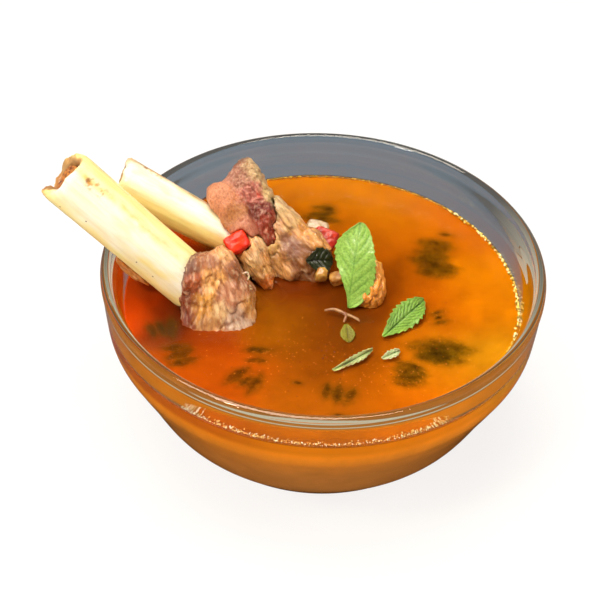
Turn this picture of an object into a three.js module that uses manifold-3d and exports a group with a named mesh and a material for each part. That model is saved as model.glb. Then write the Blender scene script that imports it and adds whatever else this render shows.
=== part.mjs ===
// A clear glass bowl of mutton pepper soup: two shank bones lean on the rim, their meat
// stands in the soup, and mint leaves and diced pepper lie on top.
// Millimetres, +Z up. The origin is the middle of the bowl's underside, -Y is the side
// that the bowl is looked at from, and the bones lean out over -X.
import * as THREE from 'three';
import { mergeVertices } from 'three/addons/utils/BufferGeometryUtils.js';
import Module from 'manifold-3d';

const wasm = await Module();
wasm.setup();

// ---------------------------------------------------------------- driving dimensions
const RIM_RADIUS = 70.2;
const BOWL_HEIGHT = 59.4;
const BEAD_RADIUS = 1.6;
const SOUP_LEVEL = 45;
const GAP = 0.3;
const ROUND_SIDES = 56;

// The glass as [radius, height]: outside, a foot, a body that curls out, a shoulder to
// stack on, and a near upright band that runs into the bead of the rim.
const OUTSIDE = [
  [0, 0], [43, 0], [45.6, 1.3], [51.5, 8], [56.2, 14], [62, 26], [66.4, 35], [68.4, 39.6], [69.2, 46],
  [69.8, 54],
];
const INSIDE = [
  [66.8, 56.8], [65.1, 54], [63.4, 46], [62.6, 40.6], [60.6, 35.4], [55.8, 25.6], [49.6, 14.5], [44, 9],
  [37.5, 6.2], [30, 5.5], [0, 5.5],
];

// ---------------------------------------------------------------- small tools
const vec = ([x, y, z]) => new THREE.Vector3(x, y, z);
const FULL_TURN = 360;
const degrees = THREE.MathUtils.degToRad;
const inDegrees = THREE.MathUtils.radToDeg;
const smooth = (from, to, value) => THREE.MathUtils.smoothstep(value, from, to);

function randomFrom(seed) {
  let state = seed >>> 0;
  return () => {
    state = (state + 0x6d2b79f5) >>> 0;
    let mixed = Math.imul(state ^ (state >>> 15), state | 1);
    mixed ^= mixed + Math.imul(mixed ^ (mixed >>> 7), mixed | 61);
    return ((mixed ^ (mixed >>> 14)) >>> 0) / 2 ** 32;
  };
}

// Uneven relief between about -1 and 1: waves of random direction, `grain` mm apart.
function reliefOf(seed, grain) {
  const WAVES = 7;
  const SPACING = { least: 0.7, spread: 0.6 };
  const random = randomFrom(seed);
  const waves = Array.from({ length: WAVES }, () => {
    const direction = new THREE.Vector3(random() - 0.5, random() - 0.5, random() - 0.5);
    const spacing = grain * (SPACING.least + SPACING.spread * random());
    return { along: direction.setLength((2 * Math.PI) / spacing), phase: 2 * Math.PI * random() };
  });
  return (point) => {
    const sum = waves.reduce((total, wave) => total + Math.sin(point.dot(wave.along) + wave.phase), 0);
    return sum / Math.sqrt(2 * WAVES);
  };
}

// Keeps only the positions and joins the vertices that coincide.
function joined(geometry) {
  for (const name of ['normal', 'uv']) geometry.deleteAttribute(name);
  return mergeVertices(geometry);
}

function reshape(geometry, move) {
  const positions = geometry.attributes.position;
  const point = new THREE.Vector3();
  for (let i = 0; i < positions.count; i += 1) {
    const moved = move(point.fromBufferAttribute(positions, i).clone());
    positions.setXYZ(i, moved.x, moved.y, moved.z);
  }
  return geometry;
}

// Turns a shape about X, Y and Z in that order, in degrees, and moves it to its place.
function place(geometry, centre, turn = [0, 0, 0]) {
  const [x, y, z] = turn.map(degrees);
  return geometry.rotateX(x).rotateY(y).rotateZ(z).translate(...centre);
}

// ---------------------------------------------------------------- joining and cutting
function solidOf(geometry) {
  const vertProperties = new Float32Array(geometry.attributes.position.array);
  const triVerts = new Uint32Array(geometry.index.array);
  return new wasm.Manifold(new wasm.Mesh({ numProp: 3, vertProperties, triVerts }));
}

function geometryOf(solid) {
  const { vertProperties, triVerts } = solid.getMesh();
  const geometry = new THREE.BufferGeometry();
  geometry.setAttribute('position', new THREE.BufferAttribute(new Float32Array(vertProperties), 3));
  geometry.setIndex([...triVerts]);
  return geometry;
}

// The same shape, swollen along its normals by the gap that neighbours keep.
function swollen(geometry) {
  const CLEARANCE = 1.15 * GAP;
  const bigger = geometry.clone();
  bigger.computeVertexNormals();
  const { position, normal } = bigger.attributes;
  for (let i = 0; i < position.count; i += 1) {
    const moved = new THREE.Vector3().fromBufferAttribute(position, i)
      .addScaledVector(new THREE.Vector3().fromBufferAttribute(normal, i), CLEARANCE);
    position.setXYZ(i, moved.x, moved.y, moved.z);
  }
  return bigger;
}

// What is left of a shape beside its neighbours: one body, without loose scraps.
function cutRound(geometry, neighbours) {
  const COARSENESS = 0.2;
  let solid = solidOf(geometry);
  for (const neighbour of neighbours) solid = solid.subtract(solidOf(swollen(neighbour)));
  const bodies = solid.simplify(COARSENESS).decompose();
  return geometryOf(bodies.sort((a, b) => b.volume() - a.volume())[0]);
}

// ---------------------------------------------------------------- glass bowl and soup
const flat = ([radius, height]) => new THREE.Vector2(radius, height);

function turned(profile) {
  return joined(new THREE.LatheGeometry(profile, ROUND_SIDES).rotateX(Math.PI / 2));
}

function bowlGeometry() {
  const STEPS = 6;
  const bead = new THREE.EllipseCurve(
    RIM_RADIUS - BEAD_RADIUS, BOWL_HEIGHT - BEAD_RADIUS, BEAD_RADIUS, BEAD_RADIUS, 0, Math.PI,
  );
  return turned([...OUTSIDE.map(flat), ...bead.getPoints(STEPS), ...INSIDE.map(flat)]);
}

// The soup fills the inside up to its level, a gap clear of the glass all over.
function soupGeometry() {
  const wetted = INSIDE.filter(([, height]) => height < SOUP_LEVEL).map(flat);
  const shore = flat(INSIDE.findLast(([, height]) => height > SOUP_LEVEL)).setY(SOUP_LEVEL);
  const outline = [shore, ...wetted];
  const clear = outline.map((point, i) => {
    const along = (outline[i + 1] ?? point).clone().sub(outline[i - 1] ?? point).normalize();
    const inward = new THREE.Vector2(along.y, -along.x);
    return point.clone().addScaledVector(inward, GAP);
  });
  clear[0].setY(SOUP_LEVEL);
  clear[clear.length - 1].setX(0);
  return turned([new THREE.Vector2(0, SOUP_LEVEL), ...clear].reverse());
}

// ---------------------------------------------------------------- bones
// A shank bone leans on the bead: its foot is in the meat, its open end past the rim.
const BONES = {
  front: {
    foot: [-40.1, -2.9, 48.4], heading: 166.1, lean: 39.5, radius: 9.2, footRadius: 8.5, taper: 1,
    length: 54.6, bore: 5.4, boreDepth: 18, marrowTop: 0.4, seed: 11,
    lips: [[15, 0.2], [60, 1.9], [95, 2.8], [130, 1.2], [165, -0.7], [192, 2.8], [215, 2.6], [250, 0],
      [300, 0.7], [345, -0.6]],
  },
  back: {
    foot: [-28.8, 15.6, 53], heading: 166.1, lean: 22.2, radius: 7.6, footRadius: 2.6, taper: 0.22,
    length: 42.7, bore: 4.3, boreDepth: 14, marrowTop: 2, seed: 23,
    lips: [[10, 0.6], [60, 1], [120, 0.2], [170, -0.6], [210, 0], [250, -1], [300, -1], [340, 0.2]],
  },
};

function boneDirection({ heading, lean }) {
  const [turn, rise] = [degrees(heading), degrees(lean)];
  return new THREE.Vector3(Math.cos(rise) * Math.cos(turn), Math.cos(rise) * Math.sin(turn), Math.sin(rise));
}

// How far the bone is lifted so that it just clears the bead that it leans on.
function liftOntoBead(bone) {
  const CHECKS = 720;
  const beadMiddle = { radius: RIM_RADIUS - BEAD_RADIUS, height: BOWL_HEIGHT - BEAD_RADIUS };
  const clear = bone.radius + BEAD_RADIUS + GAP;
  const axis = boneDirection(bone);
  let closest = Infinity;
  for (let i = 0; i < CHECKS; i += 1) {
    const angle = (2 * Math.PI * i) / CHECKS;
    const onBead = new THREE.Vector3(Math.cos(angle), Math.sin(angle), 0)
      .multiplyScalar(beadMiddle.radius).setZ(beadMiddle.height);
    const fromFoot = onBead.sub(vec(bone.foot));
    const along = THREE.MathUtils.clamp(fromFoot.dot(axis), 0, bone.length);
    closest = Math.min(closest, fromFoot.addScaledVector(axis, -along).length());
  }
  return (clear - closest) / Math.cos(degrees(bone.lean));
}

// Chopped end: how much longer the wall is at an angle. It runs smoothly from lip to lip, each
// given as [degrees, height], with small chips.
function brokenEnd(angle, { lips, seed }) {
  const CHIP = 0.5;
  const random = randomFrom(seed);
  const chips = [4, 7].reduce((sum, waves) => {
    return sum + (CHIP / Math.sqrt(waves)) * Math.sin(waves * angle + 2 * Math.PI * random());
  }, 0);
  const [firstTurn, firstHeight] = lips[0];
  const round = [...lips, [firstTurn + FULL_TURN, firstHeight]];
  const turn = firstTurn + THREE.MathUtils.euclideanModulo(inDegrees(angle) - firstTurn, FULL_TURN);
  const next = round.findIndex(([lipTurn]) => lipTurn > turn);
  const [[before, low], [after, high]] = [round[next - 1], round[next]];
  return THREE.MathUtils.lerp(low, high, smooth(before, after, turn)) + chips;
}

function ontoBone(geometry, bone) {
  const upright = new THREE.Vector3(0, 0, 1);
  const turn = new THREE.Quaternion().setFromUnitVectors(upright, boneDirection(bone));
  const [x, y, z] = bone.foot;
  return geometry.applyQuaternion(turn).translate(x, y, z + liftOntoBead(bone));
}

// A shaft with a blind bore. Its radius grows from the foot, and its last stretch is
// pulled out or in all round, which makes the broken end.
function boneGeometry(bone) {
  const SIDES = 22;
  const RINGS = [0.02, 0.08, 0.18, 0.32, 0.48, 0.64, 0.8, 0.88];
  const BROKEN_STRETCH = 9;
  const LIP = 0.7;
  const BULGE = { share: 0.02, grain: 26 };
  const { radius, footRadius, taper, bore, length } = bone;
  const boreFloor = length - bone.boreDepth;
  const outside = (share) => footRadius + (radius - footRadius) * share ** taper;
  const side = RINGS.map((share) => [outside(share), share * length]);
  const profile = [
    [0, 0], [footRadius - LIP, 0], ...side, [radius, length - 3 * LIP], [radius - LIP, length],
    [bore + LIP, length - LIP / 2], [bore, length - 3 * LIP], [bore, boreFloor], [0, boreFloor],
  ];
  const tube = joined(new THREE.LatheGeometry(profile.map(flat), SIDES).rotateX(Math.PI / 2));
  const uneven = reliefOf(bone.seed, BULGE.grain);
  reshape(tube, (point) => {
    const nearEnd = smooth(length - BROKEN_STRETCH, length - LIP, point.z);
    const girth = 1 + BULGE.share * uneven(point);
    const end = brokenEnd(Math.atan2(point.y, point.x), bone);
    return new THREE.Vector3(point.x * girth, point.y * girth, point.z + nearEnd * end);
  });
  return ontoBone(tube, bone);
}

// Marrow fills the bore up to a ragged, sloping top below the broken end.
function marrowGeometry(bone) {
  const SIDES = 14;
  const ROUNDING = 0.8;
  const SLOPE = 0.35;
  const RAGGED = { height: 0.5, grain: 4 };
  const low = bone.length - bone.boreDepth + GAP;
  const top = bone.length - bone.marrowTop;
  const radius = bone.bore - 2.5 * GAP;
  const uneven = reliefOf(bone.seed + 1, RAGGED.grain);
  const profile = [
    [0, low], [radius, low], [radius, top - ROUNDING], [radius - ROUNDING, top], [radius / 2, top], [0, top],
  ];
  const plug = joined(new THREE.LatheGeometry(profile.map(flat), SIDES).rotateX(Math.PI / 2));
  reshape(plug, (point) => {
    if (point.z < top - 2 * ROUNDING) return point;
    return point.setZ(point.z + SLOPE * point.y + RAGGED.height * uneven(point));
  });
  return ontoBone(plug, bone);
}

// ---------------------------------------------------------------- meat and small pieces
// A torn chunk: a soft box with flat faces where the fibres parted, and uneven relief.
function chunk({
  centre, half, roll = 0, turn, faces = [], square = 2.5, taper = 0, relief, grain, seed, detail,
}) {
  const uneven = reliefOf(seed, grain);
  const size = vec(half);
  const cuts = faces.map(({ toward, at }) => ({ normal: vec(toward).normalize(), at }));
  const geometry = joined(new THREE.IcosahedronGeometry(1, detail));
  reshape(geometry, (point) => {
    const out = point.normalize();
    const spread = ['x', 'y', 'z'].reduce((sum, axis) => sum + Math.abs(out[axis] / size[axis]) ** square, 0);
    let reach = spread ** (-1 / square);
    for (const { normal, at } of cuts) {
      const along = out.dot(normal);
      if (along > 0) reach = Math.min(reach, at / along);
    }
    out.multiplyScalar(reach);
    out.multiplyScalar(1 + (relief * uneven(out)) / reach);
    const narrow = 1 - (taper * out.x) / size.x;
    return out.set(out.x, out.y * narrow, out.z * narrow);
  });
  return place(geometry.rotateY(degrees(roll)), centre, turn);
}

// Chunks that are grown together into one body.
function flesh(lobes, shared) {
  const [first, ...others] = lobes.map((lobe) => solidOf(chunk({ ...shared, ...lobe })));
  return geometryOf(others.reduce((sum, lobe) => sum.add(lobe), first));
}

// A diced piece: a box with soft edges.
function dice({ centre, size, turn }) {
  const CELLS = 3;
  const ROUNDING = 5;
  const geometry = joined(new THREE.BoxGeometry(2, 2, 2, CELLS, CELLS, CELLS));
  reshape(geometry, (point) => {
    const spread = ['x', 'y', 'z'].reduce((sum, axis) => sum + Math.abs(point[axis]) ** ROUNDING, 0);
    return point.multiplyScalar(spread ** (-1 / ROUNDING)).multiply(vec(size).multiplyScalar(0.5));
  });
  return place(geometry, centre, turn);
}

// ---------------------------------------------------------------- mint
// A sheet with both faces split alike: the grid above, its copy below, and an edge strip.
function thickened(sheet, across, along, thickness) {
  sheet.computeVertexNormals();
  const { position, normal } = sheet.attributes;
  const count = position.count;
  const points = [];
  for (const side of [0.5, -0.5]) {
    for (let i = 0; i < count; i += 1) {
      const point = new THREE.Vector3().fromBufferAttribute(position, i);
      point.addScaledVector(new THREE.Vector3().fromBufferAttribute(normal, i), side * thickness);
      points.push(point.x, point.y, point.z);
    }
  }
  const above = [...sheet.index.array];
  const faces = [...above];
  for (let i = 0; i < above.length; i += 3) {
    faces.push(above[i] + count, above[i + 2] + count, above[i + 1] + count);
  }
  const row = across + 1;
  const border = [];
  for (let i = 0; i < across; i += 1) border.push(i);
  for (let j = 0; j < along; j += 1) border.push(across + j * row);
  for (let i = across; i > 0; i -= 1) border.push(along * row + i);
  for (let j = along; j > 0; j -= 1) border.push(j * row);
  border.forEach((from, i) => {
    const to = border[(i + 1) % border.length];
    faces.push(from, to, to + count, from, to + count, from + count);
  });
  const geometry = new THREE.BufferGeometry();
  geometry.setAttribute('position', new THREE.Float32BufferAttribute(points, 3));
  geometry.setIndex(faces);
  return geometry;
}

// A serrated leaf from its base to its tip. `tilt` turns the blade about its midrib,
// `fold` lifts both halves, `arch` bows the midrib, and `wave` ruffles the margin. Each half
// is widest where it is `fullest`, and a low `fullness` makes its ends blunt.
const EVEN_HALF = { fullest: 0.55, fullness: 0.8 };
function leaf({
  base, tip, halfWidth, tilt, fold, arch, wave, teeth, across, along, bite = 0.13, left = EVEN_HALF,
  right = EVEN_HALF,
}) {
  const THICKNESS = 0.5;
  const NARROW_END = 0.35;
  const RUFFLE = { waves: 1.6, otherSide: 0.2 };
  const from = vec(base);
  const midrib = vec(tip).sub(from);
  const level = new THREE.Vector3(0, 0, 1).cross(midrib).normalize().negate();
  const side = level.applyAxisAngle(midrib.clone().normalize(), degrees(tilt));
  const up = side.clone().cross(midrib).normalize();
  const sheet = new THREE.PlaneGeometry(1, 1, across, along);
  reshape(sheet, (point) => {
    const u = point.y + 0.5;
    const v = 2 * point.x;
    const { fullest, fullness } = v < 0 ? left : right;
    const swell = Math.sin(Math.PI * u ** (Math.log(0.5) / Math.log(fullest))) ** fullness;
    const saw = 1 + bite * (Math.abs(((u * teeth) % 1) - 0.5) * 4 - 1);
    const width = NARROW_END + (halfWidth - NARROW_END) * swell * saw;
    const phase = RUFFLE.waves * u + RUFFLE.otherSide * Math.sign(v);
    const ruffle = wave * Math.sin(2 * Math.PI * phase) * v * v;
    const lift = arch * Math.sin(Math.PI * u) + fold * Math.abs(v) * (width / halfWidth) + ruffle;
    return from.clone().addScaledVector(midrib, u).addScaledVector(side, v * width).addScaledVector(up, lift);
  });
  return thickened(sheet, across, along, THICKNESS);
}

function stemGeometry({ points, radius }) {
  const HALF_SIDES = 3;
  const STEPS = 9;
  const section = new THREE.Shape().absarc(0, 0, radius, 0, 2 * Math.PI);
  const extrudePath = new THREE.CatmullRomCurve3(points.map(vec));
  return joined(new THREE.ExtrudeGeometry(section, { steps: STEPS, extrudePath, curveSegments: HALF_SIDES }));
}

// ---------------------------------------------------------------- the pieces
const shapes = {
  bowl: bowlGeometry(),
  bone_front: boneGeometry(BONES.front),
  marrow_front: marrowGeometry(BONES.front),
  bone_back: boneGeometry(BONES.back),
  marrow_back: marrowGeometry(BONES.back),
};

// Adds a piece, first cut round those already there that it would touch.
function add(name, geometry, ...neighbours) {
  shapes[name] = neighbours.length ? cutRound(geometry, neighbours.map((key) => shapes[key])) : geometry;
}

add('pepper_left', dice({ centre: [-28, 9.6, 57.4], size: [8, 6.4, 4], turn: [35, -22, 24] }), 'bone_back');
add('pepper_right', dice({ centre: [0.2, 18.5, 53.5], size: [8.6, 7, 3.6], turn: [30, 12, -15] }));
add('onion', dice({ centre: [-2.4, 25.6, 52.9], size: [7.5, 4, 2.2], turn: [20, 5, -10] }), 'pepper_right');
add('garlic_left', dice({ centre: [-0.4, 6.6, 48], size: [4, 4, 5], turn: [20, 10, 0] }));
add('garlic_right', dice({ centre: [4.6, 6, 47.2], size: [4.6, 4, 4.2], turn: [10, -15, 10] }), 'garlic_left');
add('herb_dark', leaf({
  base: [-5.5, 9, 51.5], tip: [3, 11, 50.5], halfWidth: 4.2, tilt: 38, fold: 0.8, arch: 0.8, wave: 0.6,
  teeth: 5, across: 4, along: 10,
}), 'garlic_left', 'garlic_right', 'pepper_right');

add('mint_upright', leaf({
  base: [8.5, -5.8, 45.4], tip: [11.3, 12, 66], halfWidth: 7.1, tilt: -4, fold: -1.4, arch: 1.6, wave: 0.9,
  teeth: 9, across: 6, along: 18, bite: 0.05,
  left: { fullest: 0.66, fullness: 1.1 }, right: { fullest: 0.42, fullness: 0.6 },
}));
add('mint_stem', stemGeometry({
  points: [[1, -7.4, 45.1], [4, -7.2, 45.5], [7.4, -8.6, 44.6], [11.8, -11, 45.2]], radius: 0.6,
}), 'mint_upright');
add('mint_floating', leaf({
  base: [19.8, -18, 44.9], tip: [32.8, -1, 46], halfWidth: 4, tilt: 22, fold: 0.5, arch: 0.9, wave: 0.5,
  teeth: 7, across: 4, along: 14,
}));
add('mint_edge', leaf({
  base: [4.4, -34, 44.6], tip: [16.4, -24.6, 45.4], halfWidth: 1.9, tilt: 48, fold: 0.3, arch: 0.5, wave: 0.3,
  teeth: 5, across: 2, along: 10,
}));
add('mint_tip', leaf({
  base: [19.4, -28, 44.9], tip: [24.8, -24.8, 45.5], halfWidth: 1.6, tilt: 35, fold: 0.3, arch: 0.4, wave: 0.2,
  teeth: 3, across: 2, along: 6,
}), 'mint_floating');
add('fat_scrap', chunk({
  centre: [14.2, 4.6, 46.2], half: [6, 10, 7], turn: [0, 0, 4], relief: 0.7, grain: 7, seed: 31, detail: 3,
}), 'mint_upright', 'garlic_right');


// The front piece is a block whose torn face leans back, with a browned lobe round the foot of
// its bone. The back piece stands higher: a smooth slab beside a rougher block. The middle
// piece is two fatty lobes that slope down to the soup.
const LEANING_BACK = [-38, 0, 0];
add('meat_front', flesh([
  {
    centre: [-32.9, -6, 45], half: [11.4, 10, 20], square: 5,
    faces: [
      { toward: [0.85, 0, 0.52], at: 11.6 },
      { toward: [-0.55, 0, 0.84], at: 15.4 },
      { toward: [0, 0.3, -1], at: 14 },
    ],
  },
  { centre: [-27.6, -8.6, 43.6], half: [6.4, 8, 10.4] },
  { centre: [-38.2, -5.4, 53.4], half: [6.4, 6.6, 8.6], roll: 10 },
], { turn: LEANING_BACK, square: 4, relief: 0.8, grain: 7, seed: 5, detail: 4 }),
'bone_front', 'bone_back', 'pepper_left');
add('meat_flap', chunk({
  centre: [-21.8, 8.6, 50.4], half: [10.5, 4.4, 4.6], turn: [0, 33, -52], taper: 0.45, relief: 0.5, grain: 6,
  seed: 17, detail: 3,
}), 'bone_back', 'pepper_left', 'meat_front');
add('meat_back', flesh([
  {
    centre: [-25.4, 26, 60.4], half: [8.4, 8.5, 16.4], roll: -14,
    faces: [
      { toward: [-0.62, 0, 0.78], at: 11.4 },
      { toward: [0.8, 0, 0.6], at: 11.6 },
      { toward: [0.97, 0, 0.26], at: 8.2 },
    ],
  },
  {
    centre: [-29.6, 18.8, 60.6], half: [5.2, 5, 12.6], roll: -34,
    faces: [{ toward: [0.5, 0, 0.86], at: 11 }, { toward: [0.6, 0, -0.8], at: 10.4 }],
  },
], { turn: LEANING_BACK, square: 4, relief: 0.8, grain: 8, seed: 7, detail: 4 }),
'bone_back', 'bone_front', 'pepper_left', 'meat_front', 'meat_flap');
add('meat_middle', flesh([
  { centre: [-15.6, 21.5, 50.6], half: [9.6, 9, 14], faces: [{ toward: [0.7, 0, 0.71], at: 9.6 }] },
  { centre: [-7, 17.4, 46.4], half: [9, 9.5, 9.5] },
], { turn: LEANING_BACK, square: 3.6, relief: 1, grain: 6, seed: 9, detail: 4 }),
'bone_back', 'pepper_left', 'pepper_right', 'onion', 'garlic_left', 'garlic_right', 'herb_dark', 'fat_scrap',
'meat_front', 'meat_flap', 'meat_back');
add('tendon', chunk({
  centre: [-60, -0.6, 53.2], half: [10, 3, 1.8], turn: [0, 38, -17], taper: 0.25, relief: 0.35, grain: 6,
  seed: 41, detail: 2,
}), 'bowl', 'bone_front');

// The soup lies round everything that stands or floats in it.
const dipping = ['bone_front', 'bone_back', 'tendon', 'meat_front', 'meat_flap', 'meat_back', 'meat_middle',
  'fat_scrap', 'garlic_left', 'garlic_right', 'mint_upright', 'mint_stem', 'mint_floating', 'mint_edge',
  'mint_tip'];
add('soup', soupGeometry(), ...dipping);

// ---------------------------------------------------------------- colours
const finishes = {
  bowl: { color: 0xb9c3c6, roughness: 0.03, transparent: true, opacity: 0.45 },
  soup: { color: 0xc9620c, roughness: 0.08 },
  bone: { color: 0xf3e6b4, roughness: 0.35 },
  marrow: { color: 0x8a4526, roughness: 0.5 },
  pepper: { color: 0xd9301a, roughness: 0.2 },
  onion: { color: 0xe6c9a0, roughness: 0.25 },
  garlic: { color: 0xd8b878, roughness: 0.3 },
  herb: { color: 0x2b3312, roughness: 0.4 },
  mint: { color: 0x83bf4e, roughness: 0.45 },
  mint_stem: { color: 0x9a5a35, roughness: 0.4 },
  fat: { color: 0xe8cc84, roughness: 0.35 },
  meat: { color: 0xa9755a, roughness: 0.4 },
  tendon: { color: 0xd8933a, roughness: 0.35 },
};

// A piece takes the finish of its own name, or else of the first word of its name.
function finishOf(name) {
  return new THREE.MeshStandardMaterial({ metalness: 0, ...(finishes[name] ?? finishes[name.split('_')[0]]) });
}

const group = new THREE.Group();
for (const [name, geometry] of Object.entries(shapes)) {
  geometry.computeVertexNormals();
  const mesh = new THREE.Mesh(geometry, finishOf(name));
  mesh.name = name;
  group.add(mesh);
}

export default group;
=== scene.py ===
# %% [markdown]
# # A glass bowl of mutton pepper soup
#
# The measured solids come first: a thick glass bowl, the soup in it, two shank bones that lean
# on the rim, the meat at their feet, and the leaves and diced vegetables on top. Everything
# below is fitted round them in the same frame: metres, +Z up, the origin under the bowl's foot.

# %% Load the measured solids
import math
import random

import bmesh
import bpy
import numpy as np
from mathutils import Matrix, Vector, noise
from mathutils.kdtree import KDTree


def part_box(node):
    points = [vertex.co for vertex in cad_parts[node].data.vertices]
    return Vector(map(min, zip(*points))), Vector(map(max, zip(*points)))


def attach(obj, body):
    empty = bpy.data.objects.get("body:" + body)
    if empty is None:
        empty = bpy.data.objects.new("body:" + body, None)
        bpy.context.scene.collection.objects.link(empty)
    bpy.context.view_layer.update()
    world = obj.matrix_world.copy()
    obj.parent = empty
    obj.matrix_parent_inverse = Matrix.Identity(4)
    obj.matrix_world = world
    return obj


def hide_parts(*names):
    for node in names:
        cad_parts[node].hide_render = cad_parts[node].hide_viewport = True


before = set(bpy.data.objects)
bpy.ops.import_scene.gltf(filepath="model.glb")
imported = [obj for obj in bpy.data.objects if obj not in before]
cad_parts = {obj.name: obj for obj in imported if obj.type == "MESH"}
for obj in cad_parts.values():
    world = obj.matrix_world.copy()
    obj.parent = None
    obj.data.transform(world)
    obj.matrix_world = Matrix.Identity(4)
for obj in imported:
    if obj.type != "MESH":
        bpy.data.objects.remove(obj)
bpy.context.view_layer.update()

print("solids:", len(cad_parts))

# %% [markdown]
# ## Units, colours and nodes
#
# Sizes are written in millimetres, because that is how food and glassware are measured, and are
# turned to metres where a mesh is made. Colours are the sRGB hex values that a colour picker
# shows, and shaders need them as linear light, so one function turns them. One more function
# adds a shader node with its settings and its links, which keeps each material short.

# %% Units, colours and nodes
MM = 0.001


def linear(hex_colour):
    """An sRGB hex colour as linear red, green, blue and alpha."""
    parts = [int(hex_colour[i : i + 2], 16) / 255 for i in (1, 3, 5)]
    return [p / 12.92 if p <= 0.04045 else ((p + 0.055) / 1.055) ** 2.4 for p in parts] + [1.0]


def add(material, kind, inputs=(), stops=(), **settings):
    """Adds a shader node.

    An input is a number, a colour, another node's output, or a node, which stands for its first
    output. Stops are the positions and hex colours of a ramp."""
    made = material.node_tree.nodes.new("ShaderNode" + kind)
    for name, value in settings.items():
        setattr(made, name, value)
    for name, value in dict(inputs).items():
        if isinstance(value, bpy.types.Node):
            value = value.outputs[0]
        if isinstance(value, bpy.types.NodeSocket):
            material.node_tree.links.new(value, made.inputs[name])
        else:
            made.inputs[name].default_value = value
    for position, hex_colour in stops:
        fits = [e for e in made.color_ramp.elements if abs(e.position - position) < 1e-6]
        element = fits[0] if fits else made.color_ramp.elements.new(position)
        element.color = linear(hex_colour)
    return made


def new_material(name):
    """A material without nodes."""
    material = bpy.data.materials.new(name)
    material.use_nodes = True
    material.node_tree.nodes.clear()
    return material


def smoothstep(low, high, value):
    share = min(max((value - low) / (high - low), 0), 1)
    return share * share * (3 - 2 * share)


def blend(first, second, share):
    """Two colours or points mixed, share 0 to 1 of the second."""
    share = min(max(share, 0), 1)
    return [a + (b - a) * share for a, b in zip(first, second)]


print("orange broth in linear light:", [round(x, 3) for x in linear("#d8780c")[:3]])

# %% [markdown]
# ## Camera
#
# The photograph looks down into the bowl at about 40 degrees with a long lens, a hair off level.
# The camera's place, aim, roll and lens were found from the ellipse of the rim and the foot.

# %% Camera
CAMERA_PLACE = Vector((0, -382.9, 381.54)) * MM
CAMERA_AIM = Vector((-6.69, -19.69, 60)) * MM
CAMERA_ROLL = math.radians(1.873)
LENS = 95.13

camera = bpy.data.objects.new("camera", bpy.data.cameras.new("camera"))
bpy.context.scene.collection.objects.link(camera)
bpy.context.scene.camera = camera
camera.data.lens = LENS
forward = (CAMERA_AIM - CAMERA_PLACE).normalized()
level_right = forward.cross(Vector((0, 0, 1))).normalized()
level_up = level_right.cross(forward)
right = level_right * math.cos(CAMERA_ROLL) + level_up * math.sin(CAMERA_ROLL)
up = level_up * math.cos(CAMERA_ROLL) - level_right * math.sin(CAMERA_ROLL)
camera.matrix_world = Matrix.Translation(CAMERA_PLACE) @ Matrix((right, up, -forward)).transposed().to_4x4()
print("camera looks down", round(math.degrees(math.asin(-forward.z)), 1), "degrees")

# %% [markdown]
# ## Floor, room and lights
#
# Clear glass shows what is round it, and behind the real bowl lies a blue-grey table. A white floor
# alone would make the glass vanish and its front milky, so the floor is pale where it is seen
# directly. Where it is seen through or in the glass it is blue-grey behind, and in front a tan
# that is painted darker towards the bowl, as painted shade where the bowl's shadow lies. Where
# light that bounced off a dull surface meets it, it glows warm white, a painted bounce light. The
# room is bright near the horizon, which draws the light lines in the rim, and dim where the soup
# mirrors it; soft boxes give the light.

# %% Floor, room and lights
FLOOR_SIZE = 6.0
FLOOR_GAP = 0.0001
BACKLIGHT = 0.8
BOUNCE = 1.1


def floor_material():
    material = new_material("painted studio floor")
    path = add(material, "LightPath")
    where = add(material, "TexCoord")
    place = add(material, "SeparateXYZ", {"Vector": where.outputs["Object"]})
    away = add(material, "VectorMath", {0: where.outputs["Object"]}, operation="LENGTH")
    # Painted shade: in front, what the glass shows of the floor is darkest next to the bowl.
    front_shaded_near_bowl = add(material, "ValToRGB", {"Fac": away.outputs["Value"]},
                   stops=[(0.09, "#6e563c"), (0.16, "#8f8069"), (0.40, "#b3a78f")])
    behind = add(material, "MapRange", {"Value": place.outputs["Y"], "From Min": -0.02, "From Max": 0.06})
    glimpse = add(material, "Mix", {0: behind, 6: front_shaded_near_bowl,
                                              7: linear("#5c6a7a")}, data_type="RGBA")
    painted = add(material, "BsdfDiffuse", {"Color": linear("#f7f7f6")})
    backlit = add(material, "Emission", {"Color": linear("#ffffff"), "Strength": 1.0})
    pale = add(material, "MixShader", {0: BACKLIGHT, 1: painted, 2: backlit})
    table = add(material, "BsdfDiffuse", {"Color": glimpse.outputs[2]})
    # Painted light: where light that bounced off a dull surface meets the floor, it glows warm white.
    bounce = add(material, "Emission", {"Color": linear("#fff1e0"), "Strength": BOUNCE})
    scattered = add(material, "Math", {0: path.outputs["Diffuse Depth"], 1: 0.5}, operation="GREATER_THAN")
    unseen = add(material, "MixShader", {0: scattered, 1: table,
                                                   2: bounce})
    seen = add(material, "MixShader", {0: path.outputs["Is Camera Ray"],
                                                 1: unseen, 2: pale})
    add(material, "OutputMaterial", {"Surface": seen})
    return material


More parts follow.
